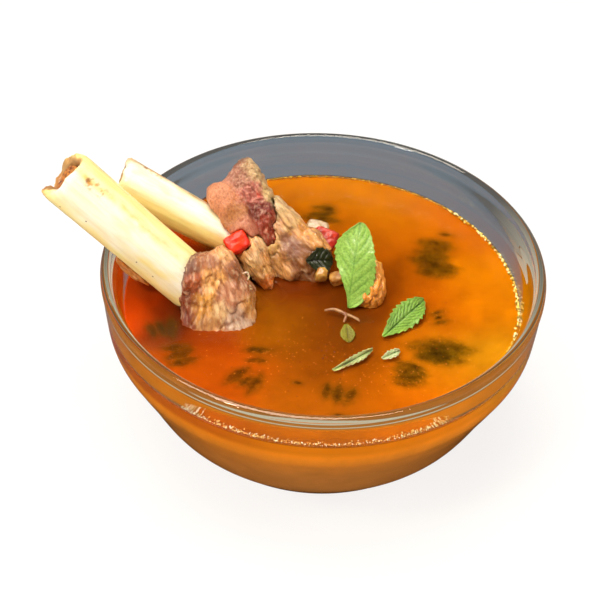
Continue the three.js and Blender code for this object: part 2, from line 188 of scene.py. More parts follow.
def light_room():
    """A world that is bright near the horizon and dim in the direction that the soup mirrors."""
    room = bpy.data.worlds.new("room")
    bpy.context.scene.world = room
    room.use_nodes = True
    room.node_tree.nodes.clear()
    where = add(room, "TexCoord")
    place = add(room, "SeparateXYZ", {"Vector": where.outputs["Generated"]})
    height = add(room, "ValToRGB", {"Fac": place.outputs["Z"]},
                 stops=[(0.0, "#ffffff"), (0.25, "#e8e6e0"), (0.5, "#a8a090"), (1.0, "#908878")])
    towards = add(room, "VectorMath", {0: where.outputs["Generated"], 1: MIRRORED},
                  operation="DOT_PRODUCT")
    dimmed = add(room, "MapRange", {"Value": towards.outputs["Value"], "From Min": 0.75,
                                              "From Max": 0.93, "To Max": 0.92})
    shade = add(room, "Mix", {0: dimmed, 6: height,
                                        7: linear("#26282c")}, data_type="RGBA")
    sky = add(room, "Background", {"Color": shade.outputs[2], "Strength": ROOM_STRENGTH})
    add(room, "OutputWorld", {"Surface": sky})


def soft_box(name, place, size, power, tint, mirrored=True):
    """A square soft box in metres that faces the bowl; an unmirrored one leaves no patch in the glass."""
    lamp = bpy.data.lights.new(name, "AREA")
    lamp.size = size
    lamp.energy = power
    lamp.color = linear(tint)[:3]
    box = bpy.data.objects.new(name, lamp)
    box.location = place
    box.visible_glossy = mirrored
    box.rotation_euler = (Vector((0, 0, 0.04)) - Vector(place)).to_track_quat("-Z", "Y").to_euler()
    bpy.context.scene.collection.objects.link(box)


floor_mesh = bpy.data.meshes.new("floor")
signs = [(-1, -1), (1, -1), (1, 1), (-1, 1)]
corners = [(x * FLOOR_SIZE / 2, y * FLOOR_SIZE / 2, -FLOOR_GAP) for x, y in signs]
floor_mesh.from_pydata(corners, [], [(0, 1, 2, 3)])
floor = bpy.data.objects.new("floor", floor_mesh)
floor_mesh.materials.append(floor_material())
bpy.context.scene.collection.objects.link(floor)

ROOM_STRENGTH = 0.5
MIRRORED = (0, forward.y, -forward.z)
light_room()
soft_box("overhead", (-0.10, 0.10, 0.85), 0.55, 7.8, "#fff4e4")
soft_box("left_front", (-0.75, -0.45, 0.45), 0.45, 4.1, "#ffeeda", mirrored=False)
soft_box("right", (0.80, 0.05, 0.50), 0.40, 3.2, "#fff4e4", mirrored=False)
soft_box("window", (-0.35, -0.25, 0.70), 0.10, 2.2, "#fff4e4")
bpy.context.scene.view_settings.view_transform = "Standard"

# %% [markdown]
# ## Making and showing a piece
#
# Three ways of making meshes serve the whole scene: a section turned about the bowl's axis, a
# CAD solid remeshed finely so that relief can be pressed into it, and a flat grid bent into a
# leaf. Each piece is painted by vertex, from its own place on the object, and keeps its object
# at the origin. It rides on the row's one body and hides the solids that it stands for.

# %% Making and showing a piece
def mesh_of(name, points, faces):
    """A smooth-shaded mesh from points in millimetres."""
    mesh = bpy.data.meshes.new(name)
    mesh.from_pydata([tuple(c * MM for c in p) for p in points], [], faces)
    mesh.validate()
    mesh.shade_smooth()
    return mesh


def show(name, mesh, material, slot, *replaced):
    """Puts a mesh in the scene as a piece of the object that stands for the CAD nodes named."""
    mesh.name = name
    mesh.materials.clear()
    mesh.materials.append(material)
    piece = bpy.data.objects.new(name, mesh)
    bpy.context.scene.collection.objects.link(piece)
    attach(piece, "root")
    if replaced:
        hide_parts(*replaced)
    print(name, "faces:", len(mesh.polygons))


def paint(mesh, name, values):
    """Stores a colour or a vector for every vertex, for the material to read."""
    kind, field = ("FLOAT_COLOR", "color") if len(values[0]) == 4 else ("FLOAT_VECTOR", "vector")
    attribute = mesh.attributes.new(name, kind, "POINT")
    attribute.data.foreach_set(field, np.array(values, np.float32).ravel())


def remeshed(name, spacing, rounds):
    """A CAD node's form as one even mesh, its facets smoothed away; spacing in mm."""
    work = bpy.data.objects.new("work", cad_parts[name].data.copy())
    bpy.context.scene.collection.objects.link(work)
    even = work.modifiers.new("even", "REMESH")
    even.mode = "VOXEL"
    even.voxel_size = spacing * MM
    smooth = work.modifiers.new("smooth", "SMOOTH")
    smooth.iterations = rounds
    seen = work.evaluated_get(bpy.context.evaluated_depsgraph_get())
    mesh = bpy.data.meshes.new_from_object(seen)
    bpy.data.objects.remove(work)
    mesh.shade_smooth()
    return mesh


def points_of(mesh):
    """A mesh's points in millimetres."""
    return [v.co / MM for v in mesh.vertices]


def press(mesh, relief):
    """Moves each vertex out along its normal by its relief in millimetres."""
    moves = [v.normal * rise * MM for v, rise in zip(mesh.vertices, relief)]
    for vertex, move in zip(mesh.vertices, moves):
        vertex.co += move
    mesh.update()


def wave(point, size, seed=0, octaves=3):
    """Uneven noise between about -1 and 1, with its largest humps `size` mm apart."""
    return noise.fractal(point / size + Vector((seed * 7.3, seed * 3.1, seed * 5.7)), 1.0, 2.0, octaves)


def through(points, steps):
    """A smooth line through points in a plane: a centripetal spline that doesn't overshoot."""
    points = [np.array(p, float) for p in points]
    ends = [2 * points[0] - points[1], *points, 2 * points[-1] - points[-2]]
    line = []
    for p0, p1, p2, p3 in zip(ends, ends[1:], ends[2:], ends[3:]):
        t1 = np.linalg.norm(p1 - p0) ** 0.5
        t2 = t1 + np.linalg.norm(p2 - p1) ** 0.5
        t3 = t2 + np.linalg.norm(p3 - p2) ** 0.5
        for step in range(steps):
            t = t1 + (t2 - t1) * step / steps
            a1 = p0 + (p1 - p0) * t / t1
            a2 = p1 + (p2 - p1) * (t - t1) / (t2 - t1)
            a3 = p2 + (p3 - p2) * (t - t2) / (t3 - t2)
            b1 = a1 + (a2 - a1) * t / t2
            b2 = a2 + (a3 - a2) * (t - t1) / (t3 - t1)
            line.append(b1 + (b2 - b1) * (t - t1) / (t2 - t1))
    return [*line, points[-1]]


def rings_of_faces(rings, sides):
    """The faces between rings of points that follow each other."""
    return [(row * sides + i, row * sides + j, (row + 1) * sides + j, (row + 1) * sides + i)
            for row in range(rings - 1) for i, j in zip(range(sides), [*range(1, sides), 0])]


def turned(name, section, sides):
    """Turns a section about +Z. Section entries are (radius, height), or (radius, function of x and y)."""
    points = []
    for radius, height in section:
        for i in range(sides):
            x = radius * math.cos(2 * math.pi * i / sides)
            y = radius * math.sin(2 * math.pi * i / sides)
            points.append((x, y, height(x, y) if callable(height) else height))
    mesh = mesh_of(name, points, rings_of_faces(len(section), sides))
    work = bmesh.new()
    work.from_mesh(mesh)
    bmesh.ops.remove_doubles(work, verts=work.verts, dist=1e-7)
    bmesh.ops.recalc_face_normals(work, faces=work.faces)
    work.to_mesh(mesh)
    work.free()
    return mesh


# %% [markdown]
# ## The glass bowl
#
# Pressed soda-lime glass: clear, fire polished, about 5 mm thick at the foot and 3 mm at the
# rim, with a round bead and a shoulder that lets such bowls stack. It could be a mirror-smooth
# tube with a tint, but only two real surfaces a wall's thickness apart bend the light into the
# dark and bright lines of a real rim. So the CAD section is read back from its solid, run
# through a smooth curve and turned finely. Lamps shine through the glass by a shadow that is
# nearly clear, because the renderer would otherwise need far more samples to find them, and an
# absorbing inside gives the faint green-grey that thick edges show.
# A ray still caught in the glass after a few bounces ends in a painted glow instead of black.

# %% The glass bowl
BOWL_SIDES = 256
TRAPPED_AFTER = 2.5
PAINTED_GLOW_STRENGTH = 0.9


def section_of(name):
    """A turned CAD node's section as [radius, height] in mm, from its lowest point on the axis."""
    work = bmesh.new()
    work.from_mesh(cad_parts[name].data)
    bmesh.ops.remove_doubles(work, verts=work.verts, dist=1e-6)
    side = {v for v in work.verts if abs(v.co.x) < 1e-6 and v.co.y < 1e-6}
    here = min(side, key=lambda v: (v.co.xy.length > 1e-6, v.co.z))
    found, last = [], None
    while here:
        found.append([here.co.xy.length / MM, here.co.z / MM])
        nexts = [e.other_vert(here) for e in here.link_edges if e.other_vert(here) in side - {last}]
        last, here = here, nexts[0] if nexts and len(found) < len(side) else None
    work.free()
    return found


def pressed_glass():
    material = new_material("pressed soda-lime glass")
    glass = add(material, "BsdfPrincipled", {
        "Base Color": linear("#ffffff"), "Transmission Weight": 1.0, "Roughness": 0.0, "IOR": 1.52})
    clear = add(material, "BsdfTransparent", {"Color": linear("#f2f4f2")})
    path = add(material, "LightPath")
    # Painted light: a ray still caught in the glass after a few bounces ends in a painted glow, warm tan
    # towards the front and grey at the back, where it would otherwise go black.
    trapped = add(material, "Math", {0: path.outputs["Ray Depth"], 1: TRAPPED_AFTER},
                  operation="GREATER_THAN")
    where = add(material, "TexCoord")
    place = add(material, "SeparateXYZ", {"Vector": where.outputs["Object"]})
    far = add(material, "MapRange", {"Value": place.outputs["Y"], "From Min": 0.0, "From Max": 0.045})
    painted_glow_tint = add(material, "Mix", {0: far, 6: linear("#ecdcbe"),
                                            7: linear("#6a6662")}, data_type="RGBA")
    painted_glow = add(material, "Emission", {"Color": painted_glow_tint.outputs[2], "Strength": PAINTED_GLOW_STRENGTH})
    lit = add(material, "MixShader", {0: trapped, 1: glass, 2: painted_glow})
    shadow = add(material, "MixShader", {0: path.outputs["Is Shadow Ray"],
                                                   1: lit, 2: clear})
    inside = add(material, "VolumeAbsorption", {"Color": linear("#cfdcd8"), "Density": 14.0})
    add(material, "OutputMaterial", {"Surface": shadow, "Volume": inside})
    return material


bowl_corners = section_of("bowl")
WIDEST, RIM = max(r for r, h in bowl_corners), max(h for r, h in bowl_corners)
bowl_curve = [(min(max(r, 0), WIDEST), min(max(h, 0), RIM)) for r, h in through(bowl_corners, 6)]
bowl_mesh = turned("glass_bowl", bowl_curve, BOWL_SIDES)
show("glass_bowl", bowl_mesh, pressed_glass(), "clear_glass", "bowl")
print("section corners:", len(bowl_corners), "rim at", round(RIM, 1), "mm")

# %% [markdown]
# ## The broth
#
# The broth is water, fine spice and fat: cloudy a few millimetres down, clear and oily on top.
# A scattering volume would be honest but slow and can't leave the scene, so it is made in two
# real pieces. The cloudy body fills the bowl and reaches a hair into the glass, so that no film
# of air shows at the wall. The clear top lies on it, about 2 mm deep, with its own flat underside
# hidden in the cloud. It is tinted by what it absorbs and slightly rough inside, so that a leaf
# blurs and darkens as it sinks, under a sharp wet skin.

# %% The broth's levels
SOUP_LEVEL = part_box("soup")[1].z / MM
INTO_GLASS = 0.15
EDGE_DEPTH = 0.35
CLEAR_DEPTH = 2.2
SHELF_AT_WALL, SHELF_AT_MEAT = 14, 6
STANDING = ["bone_front", "bone_back", "tendon", "meat_front", "meat_flap", "meat_back", "meat_middle",
            "fat_scrap"]

inner_line = bowl_curve[int(np.argmax([h for r, h in bowl_curve])):]
wetted = [(r, h) for r, h in inner_line if h < SOUP_LEVEL - EDGE_DEPTH - 0.2]


def wall_radius(height):
    """Inside radius of the glass at a height."""
    ordered = sorted((h, r) for r, h in inner_line)
    return float(np.interp(height, [h for h, r in ordered], [r for h, r in ordered]))


SHORE_SPACING = 0.6


def shoreline(names, height):
    """Points where CAD nodes pass through a level, in mm, for finding how far away they are."""
    shore = []
    for name in names:
        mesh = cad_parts[name].data
        mesh.calc_loop_triangles()
        for triangle in mesh.loop_triangles:
            corners = [mesh.vertices[i].co / MM for i in triangle.vertices]
            edges = zip(corners, corners[1:] + corners[:1])
            crossings = [a.lerp(b, (height - a.z) / (b.z - a.z)) for a, b in edges
                         if (a.z - height) * (b.z - height) < 0]
            if len(crossings) == 2:
                steps = 1 + int((crossings[1] - crossings[0]).length / SHORE_SPACING)
                shore += [crossings[0].lerp(crossings[1], i / steps) for i in range(steps)]
    tree = KDTree(len(shore))
    for i, point in enumerate(shore):
        tree.insert(point, i)
    tree.balance()
    return tree


SHORE_LEVEL = SOUP_LEVEL - 0.1
standing_shore = shoreline(STANDING, SHORE_LEVEL)


def from_shore(x, y):
    """Distance in mm to the nearest bone or meat at the soup's level."""
    return standing_shore.find((x, y, SHORE_LEVEL))[2]


def cloud_top(x, y):
    """How high the cloudy body reaches, in mm: shallow at the wall and the meat, uneven elsewhere."""
    from_wall = wall_radius(SOUP_LEVEL) - math.hypot(x, y)
    open_water = smoothstep(0, SHELF_AT_WALL, from_wall) * smoothstep(0.2, SHELF_AT_MEAT, from_shore(x, y))
    depth = EDGE_DEPTH + (CLEAR_DEPTH - EDGE_DEPTH) * open_water
    return SOUP_LEVEL - depth + 0.4 * open_water * wave(Vector((x, y, 0)), 18, 3)


# %% [markdown]
# ### Where the sunk leaves hang
#
# Long cooked mint goes limp and hangs just under the surface, in sprigs of one to five leaves.
# The leaves are real meshes, made further down. Their places are drawn here first, because a
# murky liquid veils what is in it: the cloudy body is darker and greener round each leaf, with
# soft edges, and the leaf itself only shows where it rises out of the cloud.

# %% Where the sunk leaves hang
SUNK_SPRIGS = {  # middle, length and breadth in mm, heading of the tips in degrees, leaves
    "right_back": ((37, 23), (18, 19), 0, 5),
    "right_back_tip": ((41, 35), (7, 2), 0, 1),
    "right_middle": ((37.7, -6.7), (7.5, 6), 15, 3),
    "long_right": ((38, -23.5), (24, 6), 6, 3),
    "right_front": ((28, -33.4), (13, 9), -8, 4),
    "front_middle": ((6.2, -42.8), (12, 9), 75, 3),
    "front_left": ((-22, -38.8), (12, 8), 60, 3),
    "left_back": ((-50, -18.2), (11, 8), 105, 3),
    "left_front": ((-43.4, -29.4), (12, 9), 25, 3),
    "middle_left": ((-19, -28), (10, 6), 0, 2),
    "small_left": ((-6.3, -39.3), (5, 2), 0, 1),
    "small_front": ((6.4, -52.3), (5, 2), 0, 1),
    "behind_meat": ((-1, 43.8), (15, 8), 0, 3),
}
LIMP_WIDTH = 0.21
SHADOW_REACH = 20
sunk_leaves = {}
for sprig_name, ((cx, cy), (length, breadth), heading, count) in SUNK_SPRIGS.items():
    random_leaf = random.Random(sprig_name)
    sunk_leaves[sprig_name] = []
    for i in range(count):
        aside = breadth * (0 if count == 1 else i / (count - 1) - 0.5) * 0.8
        reach = 0.5 * length * random_leaf.uniform(0.62, 1.0)
        slide = random_leaf.uniform(-0.5, 0.5) * (0.5 * length - reach)
        turn = math.radians(heading)
        middle = Vector((cx + slide * math.cos(turn) - aside * math.sin(turn),
                         cy + slide * math.sin(turn) + aside * math.cos(turn), 0))
        turn += math.radians(random_leaf.uniform(-16, 16))
        half = Vector((math.cos(turn), math.sin(turn), 0)) * reach
        sunk_leaves[sprig_name].append((middle - half, middle + half, 2 * reach * LIMP_WIDTH))


def leaf_shadow(x, y):
    """How much a place in the broth is darkened by the leaves that hang in it, 0 to 1."""
    here = Vector((x, y, 0))
    light = 1.0
    for name, leaves in sunk_leaves.items():
        if (here - Vector((*SUNK_SPRIGS[name][0], 0))).length > SHADOW_REACH:
            continue
        for start, end, half_width in leaves:
            axis = end - start
            along = min(max((here - start).dot(axis) / axis.length_squared, 0), 1)
            width = half_width * math.sin(math.pi * along) ** 0.8
            outside = (here - start - axis * along).length - width + 0.9 * wave(here, 2.6, 97)
            light *= 1 - 0.55 * smoothstep(2.0, -1.8, outside)
    return 1 - light


print("sunk leaves:", sum(len(leaves) for leaves in sunk_leaves.values()))

# %% [markdown]
# ### The broth's colours
#
# Its colour isn't even: red chilli oil gathers round the meat, fine spice browns the middle, and
# the shallow edge on the far and right side is painted a glowing yellow, painted light for what
# comes in through the glass. Painted shade deepens the red beside the front meat, and the left
# edge is painted lighter where the bones shade it. A plain noise can't know that, so a few named
# places with a reach and a colour are blended over the vertices, and noise only breaks them up.
# The colours are those that the eye sees through the clear top under the lamps, so that both are
# divided out of them. Light that came down through the broth and leaves it again at the glass is
# a faint painted glow on the body's side.

# %% The broth's colours
BROTH_COLOURS = {
    # Painted light: 'right edge', 'right edge, near', 'far right' and 'far edge' are painted a glowing
    # yellow for what comes in through the glass.
    "right edge": ((57, 4), 12, "#ff9a02"),
    "right edge, near": ((52, -26), 11, "#f0a818"),
    "right middle": ((44, -3), 11, "#c45202"),
    "near right": ((36, -40), 13, "#e97504"),
    "beside the leaf": ((21, 12), 9, "#b05401"),
    "far middle": ((14, 35), 12, "#b85a03"),
    "far right": ((42, 40), 11, "#ea7a04"),
    "far edge": ((20, 56), 12, "#f89408"),
    # Painted light: the left edge is painted lighter where the bones shade it. Painted shade: the red
    # beside the front meat is painted darker.
    "left edge, painted lighter in the bones' shadow": ((-60, -6), 7, "#f05006"),
    "red oil and painted shade beside the front meat": ((-46, -12), 7, "#4c0a01"),
    "before the front meat": ((-32, -23), 6, "#a83d06"),
    "middle": ((4, -8), 11, "#743206"),
    "left of the middle": ((-12, -14), 8, "#b26106"),
    "before the middle": ((6, -28), 10, "#954806"),
    "under the middle meat": ((-8, 3), 6, "#8a3103"),
    "near left": ((-34, -42), 11, "#d15806"),
    "near edge": ((2, -54), 12, "#c7660a"),
}
LAMPS_THERE = (1.52, 1.46, 1.75)
ABSORBED_PER_MM = (0.0048, 0.085, 0.228)
THERE_AND_BACK = 2.5
LEAF_MURK, MURK_SHARE = linear("#4c3c05"), 0.92
SIDE_TOP, SIDE_MIDDLE, SIDE_LOW = linear("#ee8a0c"), linear("#d88838"), linear("#bc7a40")
TOP_HEIGHT, MIDDLE_HEIGHT, LOW_HEIGHT = 42, 26, 6
GLOW_TOP, GLOW_LOW = linear("#cc6e04"), linear("#694520")


def broth_colour(x, y):
    """Colour of the broth's top at a place in mm: what is seen there, less the lamps and the clear top."""
    here = Vector((x, y, 0))
    swirl = here + 4 * Vector((wave(here, 16, 1), wave(here, 16, 2), 0))
    total, weight = np.zeros(4), 1e-9
    for (cx, cy), reach, seen in BROTH_COLOURS.values():
        near = math.exp(-((swirl.x - cx) ** 2 + (swirl.y - cy) ** 2) / (2 * reach * reach))
        total += near * np.array(linear(seen))
        weight += near
    seen = blend(list(total / weight), LEAF_MURK, MURK_SHARE * leaf_shadow(x, y))
    path = THERE_AND_BACK * (SOUP_LEVEL - cloud_top(x, y))
    gains = [lamp * math.exp(-loss * path) for lamp, loss in zip(LAMPS_THERE, ABSORBED_PER_MM)]
    return [c / gain for c, gain in zip(seen, gains)] + [1.0]


def broth_side_colour(height):
    """Colour of the broth against the glass: yellow under the surface, dark at the foot."""
    if height > MIDDLE_HEIGHT:
        return blend(SIDE_MIDDLE, SIDE_TOP, (height - MIDDLE_HEIGHT) / (TOP_HEIGHT - MIDDLE_HEIGHT))
    return blend(SIDE_LOW, SIDE_MIDDLE, (height - LOW_HEIGHT) / (MIDDLE_HEIGHT - LOW_HEIGHT))


def broth_glow(x, y, height):
    """A painted glow for light that came down through the broth and leaves it at the glass, most in front
    under the top.
    """
    light = blend(GLOW_LOW, GLOW_TOP, smoothstep(33, 43, height))
    share = (0.25 + 0.6 * smoothstep(-20, -56, y)) * (1 - 0.7 * smoothstep(0, -40, x))
    return [c * share for c in light[:3]] + [1.0]


def cloudy_broth():
    material = new_material("cloudy spiced broth")
    glow = add(material, "Attribute", attribute_name="glow")
    tint = add(material, "Attribute", attribute_name="tint")
    where = add(material, "TexCoord")
    clouds = add(material, "TexNoise", {"Vector": where.outputs["Object"], "Scale": 1 / (9 * MM),
                                                  "Detail": 5.0, "Roughness": 0.6})
    shade = add(material, "ValToRGB", {"Fac": clouds},
                stops=[(0.0, "#b8b8b8"), (1.0, "#ffffff")])
    mixed = add(material, "Mix", {0: 1.0, 6: tint, 7: shade},
                data_type="RGBA", blend_type="MULTIPLY")
    broth = add(material, "BsdfPrincipled", {
        "Base Color": mixed.outputs[2], "Roughness": 0.6, "Specular IOR Level": 0.0,
        "Emission Color": glow, "Emission Strength": 1.0})
    add(material, "OutputMaterial", {"Surface": broth})
    return material


BROTH_SIDES = 300
TOP_RINGS = 110
top_edge = wall_radius(SOUP_LEVEL - EDGE_DEPTH) + INTO_GLASS
top_radii = [top_edge * i / TOP_RINGS for i in range(TOP_RINGS, -1, -1)]
body_section = [(r + INTO_GLASS, h) if h > 6 else (r, h - INTO_GLASS) for r, h in reversed(wetted)]
body_section = [(max(r, 0), h) for r, h in body_section]
body_mesh = turned("soup", [*body_section, *[(r, cloud_top) for r in top_radii]], BROTH_SIDES)
body_tints, body_glow = [], []
for vertex in body_mesh.vertices:
    x, y, z = vertex.co / MM
    near_top = smoothstep(SOUP_LEVEL - 6, SOUP_LEVEL - 3.5, z) if vertex.normal.z < 0.5 else 1
    body_tints.append(blend(broth_side_colour(z), broth_colour(x, y), near_top))
    is_top = smoothstep(0.3, 0.7, vertex.normal.z)
    body_glow.append(blend(broth_glow(x, y, z), linear("#000000"), is_top))
paint(body_mesh, "tint", body_tints)
paint(body_mesh, "glow", body_glow)
show("soup_body", body_mesh, cloudy_broth(), "soup", "soup")
print("soup level", round(SOUP_LEVEL, 2), "mm, wall there", round(wall_radius(SOUP_LEVEL), 2), "mm")

# %% The clear, oily top of the broth
MENISCUS_HEIGHT, MENISCUS_REACH = 0.55, 1.3


def clear_broth():
    material = new_material("clear oily broth")
    where = add(material, "TexCoord")
    ripples = add(material, "TexNoise", {"Vector": where.outputs["Object"], "Scale": 1 / (14 * MM),
                                                   "Detail": 2.0})
    bump = add(material, "Bump", {"Height": ripples, "Strength": 0.12,
                                            "Distance": 0.4 * MM})
    broth = add(material, "BsdfPrincipled", {
        "Base Color": linear("#ffffff"), "Transmission Weight": 1.0, "Roughness": 0.24, "IOR": 1.34,
        "Coat Weight": 0.08, "Coat Roughness": 0.02, "Coat IOR": 1.45, "Specular Tint": linear("#ff9c50"),
        "Normal": bump, "Coat Normal": bump})
    clear = add(material, "BsdfTransparent", {"Color": linear("#fbfbfb")})
    path = add(material, "LightPath")
    shadow = add(material, "MixShader", {0: path.outputs["Is Shadow Ray"],
                                                   1: broth, 2: clear})
    inside = add(material, "VolumeAbsorption", {"Color": linear("#fdd240"), "Density": 240.0})
    add(material, "OutputMaterial", {"Surface": shadow, "Volume": inside})
    return material


def liquid_top(x, y):
    """The liquid's level, drawn up where it wets the glass."""
    from_wall = max(wall_radius(SOUP_LEVEL) - math.hypot(x, y), 0)
    return SOUP_LEVEL + MENISCUS_HEIGHT * math.exp(-from_wall / MENISCUS_REACH)


surface_edge = wall_radius(SOUP_LEVEL) + INTO_GLASS
EDGE_FOOT = SOUP_LEVEL - EDGE_DEPTH - 0.3
UNDERSIDE = SOUP_LEVEL - CLEAR_DEPTH - 1.2
rings = [0, 0.3, 0.7, 1.2, 1.8, 2.6, 3.6, 5, 7, 10, 15, 22, 30, 40, 50, 58, surface_edge]
top_section = [(0, UNDERSIDE), (wall_radius(UNDERSIDE) - 1, UNDERSIDE),
               (wall_radius(EDGE_FOOT) + INTO_GLASS, EDGE_FOOT),
               *[(surface_edge - r, liquid_top) for r in rings]]
show("soup_top", turned("soup_top", top_section, BROTH_SIDES), clear_broth(), "soup")

# %% [markdown]
# ## The shank bones
#
# Boiled sheep's shank: a tube of dense cream bone with a thin shine of fat, chopped through at
# one end, where the wall is ragged and the marrow shows. The CAD tube has flat sides, so it is
# remeshed at a fraction of a millimetre and smoothed, and then gets what a real bone has: slight
# ridges along the shaft and chips round the chopped end. A small hole where a vessel went in is
# only painted, as a brown spot of painted shade. Light and shade are painted into the colour too:
# white along one side of the shaft as a painted highlight, and tan on the underside as painted
# shade. Every vertex also keeps its place along and round the bone, so that streaks in the
# finish run with the shaft.

# %% The shank bones
def shaft_of(name):
    """A long node's middle, then three directions: to the chopped end over -X, sideways and upwards."""
    points = np.array([v.co[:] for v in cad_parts[name].data.vertices]) / MM
    middle = points.mean(0)
    direction = np.linalg.svd(points - middle)[2][0]
    direction = Vector(direction if direction[0] < 0 else -direction)
    sideways = direction.cross(Vector((0, 0, 1))).normalized()
    return Vector(middle), direction, sideways, sideways.cross(direction)


def along_shaft(points, name):
    """Places on the bone in mm: sideways, upwards and along the shaft from the chopped end's level."""
    middle, direction, sideways, upwards = shaft_of(name)
    end = max((p - middle).dot(direction) for p in points_of(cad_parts[name].data))
    return [((p - middle).dot(sideways), (p - middle).dot(upwards), (p - middle).dot(direction) - end)
            for p in points]


def boiled_bone():
    material = new_material("boiled shank bone")
    tint = add(material, "Attribute", attribute_name="tint")
    shaft = add(material, "Attribute", attribute_name="shaft")
    stretched = add(material, "VectorMath", {0: shaft.outputs["Vector"], 1: (0.55, 0.55, 0.06)},
                    operation="MULTIPLY")
    grain = add(material, "TexNoise", {"Vector": stretched, "Scale": 1.0, "Detail": 6.0,
                                                 "Roughness": 0.62})
    shade = add(material, "ValToRGB", {"Fac": grain},
                stops=[(0.30, "#e2cf9e"), (0.55, "#fffdf4"), (1.0, "#ffffff")])
    grained = add(material, "Mix", {0: 0.4, 6: tint, 7: shade},
                  data_type="RGBA", blend_type="MULTIPLY")
    dots = add(material, "TexVoronoi", {"Vector": shaft.outputs["Vector"], "Scale": 0.24})
    speck = add(material, "MapRange", {"Value": dots, "From Min": 0.075,
                                                 "From Max": 0.045})
    few = add(material, "SeparateColor", {"Color": dots.outputs["Color"]})
    some = add(material, "Math", {0: few, 1: 0.72}, operation="GREATER_THAN")
    where = add(material, "Math", {0: speck, 1: some}, operation="MULTIPLY")
    specked = add(material, "Mix", {0: where, 6: grained.outputs[2],
                                              7: linear("#6a5232")}, data_type="RGBA")
    bump = add(material, "Bump", {"Height": grain, "Strength": 0.35,
                                            "Distance": 0.35 * MM})
    bone = add(material, "BsdfPrincipled", {
        "Base Color": specked.outputs[2], "Roughness": 0.42, "Coat Weight": 0.35, "Coat Roughness": 0.15,
        "Subsurface Weight": 0.12, "Subsurface Radius": (1.0, 0.6, 0.3), "Subsurface Scale": 1.2 * MM,
        "Normal": bump})
    add(material, "OutputMaterial", {"Surface": bone})
    return material


BONE_WHITE, BONE_YELLOW = linear("#fffcec"), linear("#faeaa2")
BONE_TAN, BONE_BROWN = linear("#d9933f"), linear("#94592c")
BONE_SPACING = 0.55
BONE_RADIUS = 8
CHIP_REACH = 4.5
FACE_UP = Vector((0, 0.66, 0.75))


def bone_relief(place):
    """Relief at a place on the shaft, in mm: ridges that run along it and chips round the chopped end."""
    side, rise, along = place
    here = Vector(place)
    ridges = 0.16 * wave(Vector((side / 3, rise / 3, along / 22)), 1, 5) + 0.03 * wave(here, 1.4, 6)
    return ridges + 0.5 * wave(here, 1.6, 8, 4) * smoothstep(-CHIP_REACH, -0.5, along)


def bone_tint(place, normal, lit_turn, streak, hole, under):
    """Colour on the shaft: a painted white highlight along one side, yellow away from it as painted shade
    and in the bone's own mottles, tan painted shade underneath, a streak, a painted hole and a brown bore.
    """
    side, rise, along = place
    turn = math.atan2(rise, side)
    streak_turn, streak_width, streak_colour = streak
    mottle = wave(Vector((side, rise, along / 3)), 5, 11)
    # Painted highlight and shade: white along the lit side, yellower away from it; the mottle is the bone's
    # own.
    off_lit_turn = math.remainder(turn - lit_turn, 2 * math.pi) + 0.35 * mottle
    shade_and_yellowing = smoothstep(0.3, 1.1, abs(off_lit_turn)) + 0.5 * smoothstep(0.1, 0.7, mottle)
    colour = blend(BONE_WHITE, BONE_YELLOW, shade_and_yellowing)
    # Painted shade: tan on the underside, as much as `under` says.
    colour = blend(colour, BONE_TAN, under * smoothstep(1.0, 1.8, off_lit_turn))
    off_streak = math.remainder(turn - streak_turn - 0.14 * wave(Vector(place), 8, 12), 2 * math.pi)
    stripe = math.exp(-((off_streak / streak_width) ** 2)) * smoothstep(-58, -36, along)
    colour = blend(colour, linear(streak_colour), 0.9 * stripe * (0.7 + 0.6 * wave(Vector(place), 3, 13)))
    # The vessel's hole is only painted: a brown spot of painted shade, with tan crumbs beside it.
    aside, beyond = BONE_RADIUS * (turn - hole[0]), along - hole[1]
    colour = blend(colour, BONE_BROWN, 0.9 * smoothstep(1.1, 0.5, math.hypot(aside, beyond)))
    crumbs = smoothstep(2.4, 0.8, abs(aside)) * smoothstep(-9, -6, beyond) * smoothstep(0.5, -0.5, beyond)
    colour = blend(colour, BONE_TAN, 0.8 * crumbs * smoothstep(0.0, 0.4, wave(Vector(place), 1.0, 15)))
    outward = (normal[0] * side + normal[1] * rise) / max(math.hypot(side, rise), 1e-6)
    inside = smoothstep(0.25, -0.35, outward)
    edge = smoothstep(-4.0, 0.5, along) * (0.15 + 0.5 * wave(Vector(place), 2.2, 14))
    colour = blend(colour, BONE_TAN, edge)
    return blend(colour, BONE_BROWN, inside * (0.75 + 0.25 * smoothstep(-1.5, -7, along)))


def bone(name, cad_name, lit_turn, streak, hole, under):
    mesh = remeshed(cad_name, BONE_SPACING, 6)
    places = along_shaft(points_of(mesh), cad_name)
    press(mesh, map(bone_relief, places))
    middle, direction, sideways, upwards = shaft_of(cad_name)
    facing = [(v.normal.dot(sideways), v.normal.dot(upwards)) for v in mesh.vertices]
    paint(mesh, "tint", [bone_tint(p, n, lit_turn, streak, hole, under) for p, n in zip(places, facing)])
    paint(mesh, "shaft", places)
    show(name, mesh, bone_finish, "bone", cad_name)


bone_finish = boiled_bone()
# Each bone: the turn of its painted highlight, its streak, its hole, and how much tan painted shade its
# underside gets.
bone("shank_bone_front", "bone_front", math.radians(140), (math.radians(111), 0.15, "#e4d27c"),
     (math.radians(114), -8), 0.6)
bone("shank_bone_back", "bone_back", math.radians(100), (math.radians(64), 0.16, "#b08040"),
     (math.radians(68), -7), 0.4)

# %% [markdown]
# ### Marrow
#
# Boiled marrow is a soft, brown-red, crumbly plug below the rim of the bore. It is the CAD plug
# remeshed and pressed into lumps; its finish is dark, wet and mottled.

